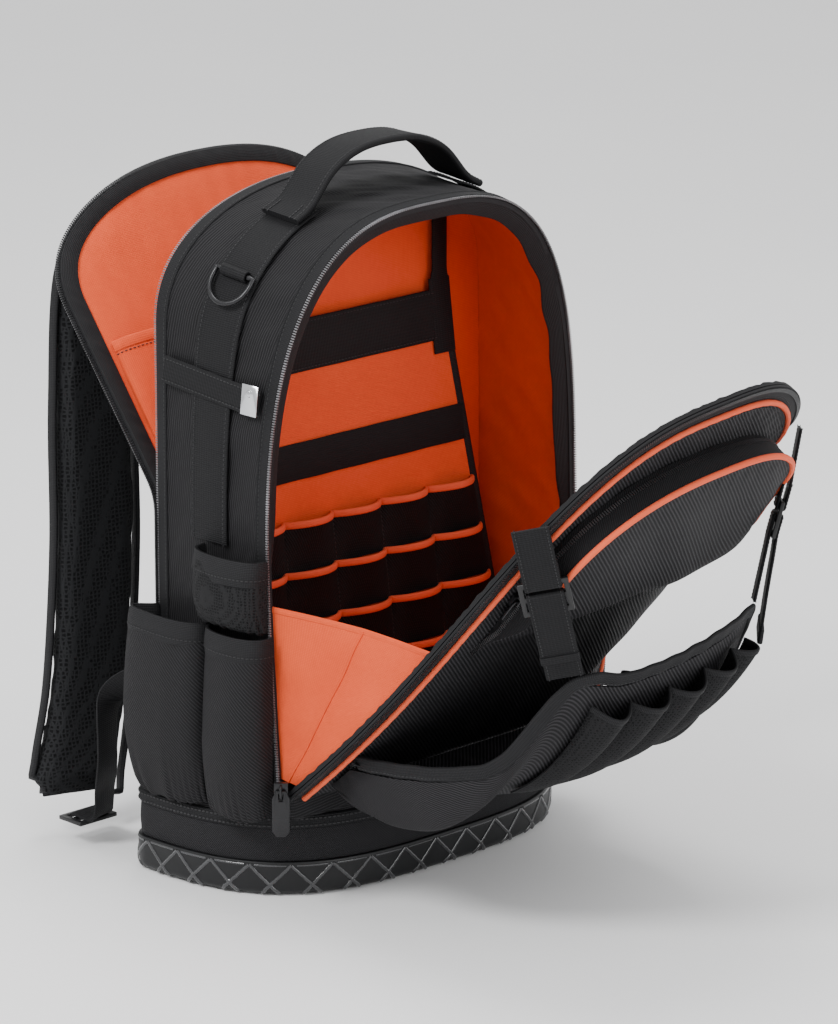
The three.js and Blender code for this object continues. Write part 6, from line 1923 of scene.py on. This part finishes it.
@dataclass
class Handle:
    """The carrying handle and the two side webbings with their rings."""

    half_span: float = 85.0
    peak: float = 530.0
    y: float = -2.0
    width: float = 37.0
    thick: float = 5.0
    ease_off: float = 0.7
    ring: tuple[float, float, float] = (37.0, 24.0, 3.6)

    @property
    def depth(self) -> float:
        """The handle's share of the body's depth."""
        return (self.y - FRONT_Y) / BODY_DEPTH

    def on_side(self, side: Side, share: Any, lift: Any) -> Grid:
        """Points held off the body's skin under the handle, on one side."""
        share = np.asarray(share, float)
        return off_body(share if side is Side.LEFT else 1 - share, self.depth, lift)

    def across(self, side: Side, share: Any) -> Grid:
        """The direction from front to rear along the skin."""
        share = np.asarray(share, float)
        share = share if side is Side.LEFT else 1 - share
        return unit(on_body(share, self.depth + 0.02) - on_body(share, self.depth - 0.02))

    def build(self) -> None:
        """Makes the handle and both sides."""
        low = share_where(self.depth, lambda spot: spot[:, 0] >= -self.half_span - 4)
        high = share_where(self.depth, lambda spot: spot[:, 0] >= -self.half_span + 12)
        lift = self.ease_off + WEBBING + GAP + self.thick / 2 + 0.4
        first = [self.on_side(Side.LEFT, low, lift), self.on_side(Side.LEFT, high, lift + 2)]
        peak = self.peak - self.thick / 2
        rows = first + [point(-self.half_span * 0.64, self.y, mix(first[1][2], peak, 0.6)),
                        point(-self.half_span * 0.35, self.y, mix(first[1][2], peak, 0.92)), point(0.0, self.y, peak)]
        rows += [row * (-1, 1, 1) for row in rows[-2::-1]]
        shares = np.linspace(0, 1, 140)
        path = spline(np.array(rows), shares)
        start = self.across(Side.LEFT, low)
        ends = point(np.where(shares < 0.5, start[0], -start[0]), start[1], start[2])
        sides = unit(mix(point(0 * shares, 1.0, 0), ends, ease(0.3, 0.5, np.abs(shares - 0.5))[:, None]))
        place(sweep("handle_web", path, sides, rounded_section(self.width, self.thick, 6)), STRAP, "handle")
        ways = along(path)
        ups = np.cross(ways, sides)
        ups = ups * np.sign(ups[:, 2:3] + 1e-6)
        rib = [(path + sides * reach + ups * (self.thick / 2 + 0.1), ups) for reach in (-15.5, 15.5)]
        place_row(STITCH, "handle_stitches", rib)
        for name, part in (("left", slice(0, 14)), ("right", slice(-14, None))):
            tape = path[part] + ups[part] * (self.thick / 2 + 0.3)
            box = [(tape + sides[part] * reach, ups[part]) for reach in (-11, 11)]
            place_row(CROSS_STITCH, f"handle_box_{name}", box)
        for side in Side:
            self.side_webbing(side)

    def side_webbing(self, side: Side) -> None:
        """One side's webbing, its ring loop and the ring."""
        word = side.word
        low = share_where(self.depth, lambda spot: spot[:, 2] >= 258)
        high = share_where(self.depth, lambda spot: spot[:, 0] >= 14 - self.half_span)
        shares = np.linspace(low, high, 120)
        path = self.on_side(side, shares, np.full(120, self.ease_off + WEBBING / 2))
        sides = self.across(side, shares)
        outs = self.on_side(side, shares, np.full(120, 5.0)) - self.on_side(side, shares, np.full(120, 4.0))
        node = f"side_webbing_{word}"
        place(sweep(f"{node}_web", path, sides, rounded_section(self.width, WEBBING)), STRAP, node)
        lines = [(path + sides * reach + outs * (WEBBING / 2 + 0.1), outs) for reach in (-15.6, 15.6)]
        place_row(STITCH, f"{node}_stitches", lines)
        width, drop, wire = self.ring
        share = share_where(self.depth, lambda spot: spot[:, 2] >= 446)
        normal = unit(self.on_side(side, share, 1.0) - self.on_side(side, share, 0.0))
        rear = self.across(side, share)
        down = unit(self.on_side(side, share - 0.01, 0.0) - self.on_side(side, share + 0.01, 0.0))
        radius = wire / 2 + GAP + THIN_CLOTH
        centre = self.on_side(side, share, self.ease_off + WEBBING + radius - THIN_CLOTH / 2)
        turn = np.linspace(0, 2 * math.pi, 40)[:-1]
        round_off = normal * np.cos(turn)[:, None] + np.cross(normal, rear) * np.sin(turn)[:, None]
        loop = rounded_section(width - 4 * wire, THIN_CLOTH)
        place(sweep(f"ring_loop_{word}", centre + (radius - 0.3) * round_off, rear, loop, closed=True), STRAP)
        half = width / 2 - wire / 2
        bend = np.linspace(0, math.pi, 40)
        shape = np.concatenate([np.stack([np.linspace(-half, half, 12), np.zeros(12)], axis=1),
                                np.stack([half * np.cos(bend), drop * (0.25 + 0.75 * np.sin(bend))], axis=1)])
        ring = centre + rear * shape[:, :1] + down * shape[:, 1:]
        piece = sweep(f"d_ring_{word}_wire", ring, normal, round_section(wire / 2, 14), closed=True)
        place(piece, DARK_STEEL, f"d_ring_{word}", body=f"d_ring_{word}")


@dataclass
class Clip:
    """The webbing band with a riveted chrome clip, on the left side only."""

    height: float = 370.0
    width: float = 20.0

    def build(self) -> None:
        """Makes the band and dresses the clip."""
        share = share_where(Handle().depth, lambda spot: spot[:, 2] >= self.height)
        depths = np.linspace(0.1, 0.9, 50)
        path = off_body(np.full(50, share), depths, GAP + 1.5 * WEBBING + 0.7)
        up = unit(off_body(np.array(share + 0.01), 0.5, 0.0) - off_body(np.array(share - 0.01), 0.5, 0.0))
        place(sweep("clip_band_web", path, up, rounded_section(self.width, WEBBING)), STRAP, "clip_band")
        outs = np.cross(along(path), up)
        outs = outs * np.sign(-outs[:, :1])
        lines = [(path + up * reach + outs, outs) for reach in (-7.6, 7.6)]
        place_row(STITCH, "clip_band_stitches", lines)
        place(softened("tape_clip", "tape_clip_plate", 0.35), CHROME, "tape_clip")


# Side pockets and zip hardware

POCKET_ROWS = np.array([(0, 0.08, 0), (0, 0.55, 1), (0.1, 0.8, 0.6), (0.35, 1, 0), (0.7, 0.95, 0), (1, 0.8, 0)])


@dataclass
class SidePocket:
    """A gathered pocket on the body's side."""

    name: str
    side: Side
    rear: float
    front: float
    foot: float
    top: float
    depth: float
    droop: float
    bulge: float
    finish: Finish
    seed: int

    def at(self, u: Grid, v: Grid) -> Grid:
        """Points of the pocket: u from its rear edge to its front edge, v up."""
        read = spline(POCKET_ROWS, v)
        turn = math.pi * u
        out = self.depth * read[..., 1]
        down = self.droop * read[..., 2] * np.sin(turn)
        swell = self.bulge * np.maximum(0, np.sin(2 * turn)) * read[..., 1]
        y = (self.rear + self.front) / 2 + (self.rear - self.front) / 2 * np.cos(turn) + swell
        z = mix(self.foot, self.top, read[..., 0].clip(0, 1)) - down
        share = np.where(z < 120, 1.0, (y - FRONT_Y) / BODY_DEPTH)
        wall = 0.9 + mix(FRONT_ARCH.half, REAR_ARCH.half, share)
        return point(self.side.value * (wall + out * np.sin(turn).clip(0, 1) ** 0.6), y, z)

    def build(self) -> None:
        """Makes the pocket and its hem."""
        u, v = np.meshgrid(0.5 - 0.5 * np.cos(math.pi * np.linspace(0, 1, 111)), np.linspace(0, 1, 51))
        grid = self.at(u, v)
        normals = grid_normals(grid)
        sign = np.sign(np.sum(normals * (self.side.value, 0, 0), axis=-1).sum())
        gather = Folds(self.seed, 1.0, 0.07, turn=0.0, spread=0.1, count=9).at(u, v * 0.1)
        slack = Folds(self.seed + 1, 1.0, 0.6, turn=0.5).at(u, v)
        edge = ease(0, 0.08, u) * (1 - ease(0.92, 1, u))
        gathers = gather * (1 - ease(0.15, 0.6, v)) * ease(0, 0.08, v)
        lift = 2.2 * (gathers + slack * ease(0.1, 0.4, v)) * edge
        grid = grid + normals * (lift * (1 - 0.8 * ease(0.88, 0.97, v)) * sign)[..., None]
        node = f"{self.name}_{self.side.word}"
        piece = place(cloth(f"{node}_cloth", grid, -0.75, 0.75, crease=70), self.finish, node)
        declare_sheet(piece, "gathered", "gusset_cloth", "body_foot_cloth")
        tall = 12 / np.linalg.norm(grid[-1, 50] - grid[0, 50])
        band = np.array([self.at(u[0], np.full(111, share)) for share in np.linspace(1 - tall, 1.0, 5)])
        hem = grid_normals(band)
        swell = np.array([0.9, 1.6, 1.8, 1.6, 0.9])[:, None, None]
        place(solid(f"{node}_hem", band - hem * swell, band + hem * swell, lengths(band)), TAPE)
        line = band[1] + hem[1] * 1.75 * sign
        place_row(STITCH, f"{node}_stitches", [(line[3:-3], hem[1][3:-3] * sign)])


@dataclass
class ZipHardware:
    """The sliders, and the pulls that turn under their bridges."""

    bodies: tuple[tuple[str, str], ...] = (("pouch", "pouch_pull"), ("front_left", "front_left_pull"),
                                           ("front_right", "front_right_pull"))

    def build(self) -> None:
        """Dresses each slider and pull."""
        for name, body in self.bodies:
            slider, pull = f"{name}_slider", f"{name}_pull"
            place(softened(slider, f"{slider}_metal", 0.45), DARK_STEEL, slider)
            place(softened(pull, f"{pull}_metal", 0.5), DARK_STEEL, pull, body=body)


# The studio


@dataclass(frozen=True)
class Backdrop(Finish):
    """A pale painted floor."""

    def mix_paint(self, paint: Paint) -> None:
        """Pale paint with the faintest unevenness."""
        patch = paint.noise(paint.coordinates("Object"), 3.0, 2.0)
        paint.feed("Base Color", paint.blend(patch, (0.86, 0.86, 0.87), (0.9, 0.9, 0.9)))
        paint.feed("Roughness", 0.75)


@dataclass
class Studio:
    """The camera at the photograph's angle, soft lamps, a pale floor and a white surround."""

    azimuth: float = 43.98
    elevation: float = 15.82
    distance: float = 4.0
    lens: float = 191.7
    target: tuple[float, float, float] = (0.0, 0.0555, 0.25)
    shift: tuple[float, float] = (0.0719, -0.0119)

    def build(self) -> None:
        """Sets the scene."""
        turn, rise = math.radians(self.azimuth), math.radians(self.elevation)
        way = Vector((math.sin(turn) * math.cos(rise), math.cos(turn) * math.cos(rise), -math.sin(rise)))
        right = Vector((math.cos(turn), -math.sin(turn), 0))
        up = right.cross(way)
        camera = bpy.data.objects.new("camera", bpy.data.cameras.new("camera"))
        camera.data.lens = self.lens
        camera.data.clip_end = 30
        shift = right * self.shift[0] + up * self.shift[1]
        camera.location = Vector(self.target) - way * self.distance + shift
        camera.rotation_euler = way.to_track_quat("-Z", "Y").to_euler()
        bpy.context.scene.collection.objects.link(camera)
        bpy.context.scene.camera = camera
        self.floor()
        self.lamps(way, right)

    def floor(self) -> None:
        """The floor plane."""
        mesh = bpy.data.meshes.new("floor")
        corners = [(-12, -12, -0.001), (12, -12, -0.001), (12, 12, -0.001), (-12, 12, -0.001)]
        mesh.from_pydata(corners, [], [(0, 1, 2, 3)])
        floor = bpy.data.objects.new("floor", mesh)
        bpy.context.scene.collection.objects.link(floor)
        Backdrop("pale_floor", "floor").dress(floor)

    def lamps(self, way: Vector, right: Vector) -> None:
        """Large soft lamps and the white surround."""
        target = Vector((0, 0, 0.25))
        flat = Vector((way.x, way.y, 0)).normalized()
        for name, spot, size, power in (
            ("key", -flat * 1.3 - right * 1.5 + Vector((0, 0, 2.1)), 0.9, 55),
            ("fill", -flat * 1.7 + right * 1.6 + Vector((0, 0, 1.0)), 1.2, 16),
            ("top", flat * 0.5 + Vector((0, 0, 2.6)), 1.2, 30),
        ):
            lamp = bpy.data.lights.new(name, "AREA")
            lamp.shape = "DISK"
            lamp.size = size
            lamp.energy = power
            made = bpy.data.objects.new(name, lamp)
            made.location = spot
            made.rotation_euler = (target - spot).to_track_quat("-Z", "Y").to_euler()
            bpy.context.scene.collection.objects.link(made)
        world = bpy.data.worlds.new("surround")
        world.use_nodes = True
        world.node_tree.nodes["Background"].inputs["Color"].default_value = (1, 1, 1, 1)
        world.node_tree.nodes["Background"].inputs["Strength"].default_value = 1.1
        bpy.context.scene.world = world


def main() -> None:
    """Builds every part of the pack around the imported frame, and sets the studio."""
    bellows = Bellows()
    foot, droop = 69.1, 6.9
    makers: list[Any] = [Studio(), Base(), Body(), Flap(), Pouch(), bellows, ToolBoard(), RearPanel()]
    for side in Side:
        makers += [FlapStrap(side, bellows), StopGusset(side), ShoulderStrap(side)]
        makers.append(SidePocket("rear_pocket", side, REAR_Y, -1.1, foot, 200, 27, droop, 22, POCKET_TWILL, 141))
        makers.append(SidePocket("front_pocket", side, -3.9, -60.5, foot, 200, 25.4, droop, 0, POCKET_TWILL, 151))
    makers += [SidePocket("tall_pocket", Side.LEFT, 9, -55.5, 203, 255, 22, 0, 0, NET, 161)]
    makers += [Handle(), Clip(), ZipHardware()]
    for maker in makers:
        maker.build()
        LOG.info("%s is made", type(maker).__name__)


if __name__ == "__main__":
    logging.basicConfig(level=logging.INFO)
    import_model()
    main()
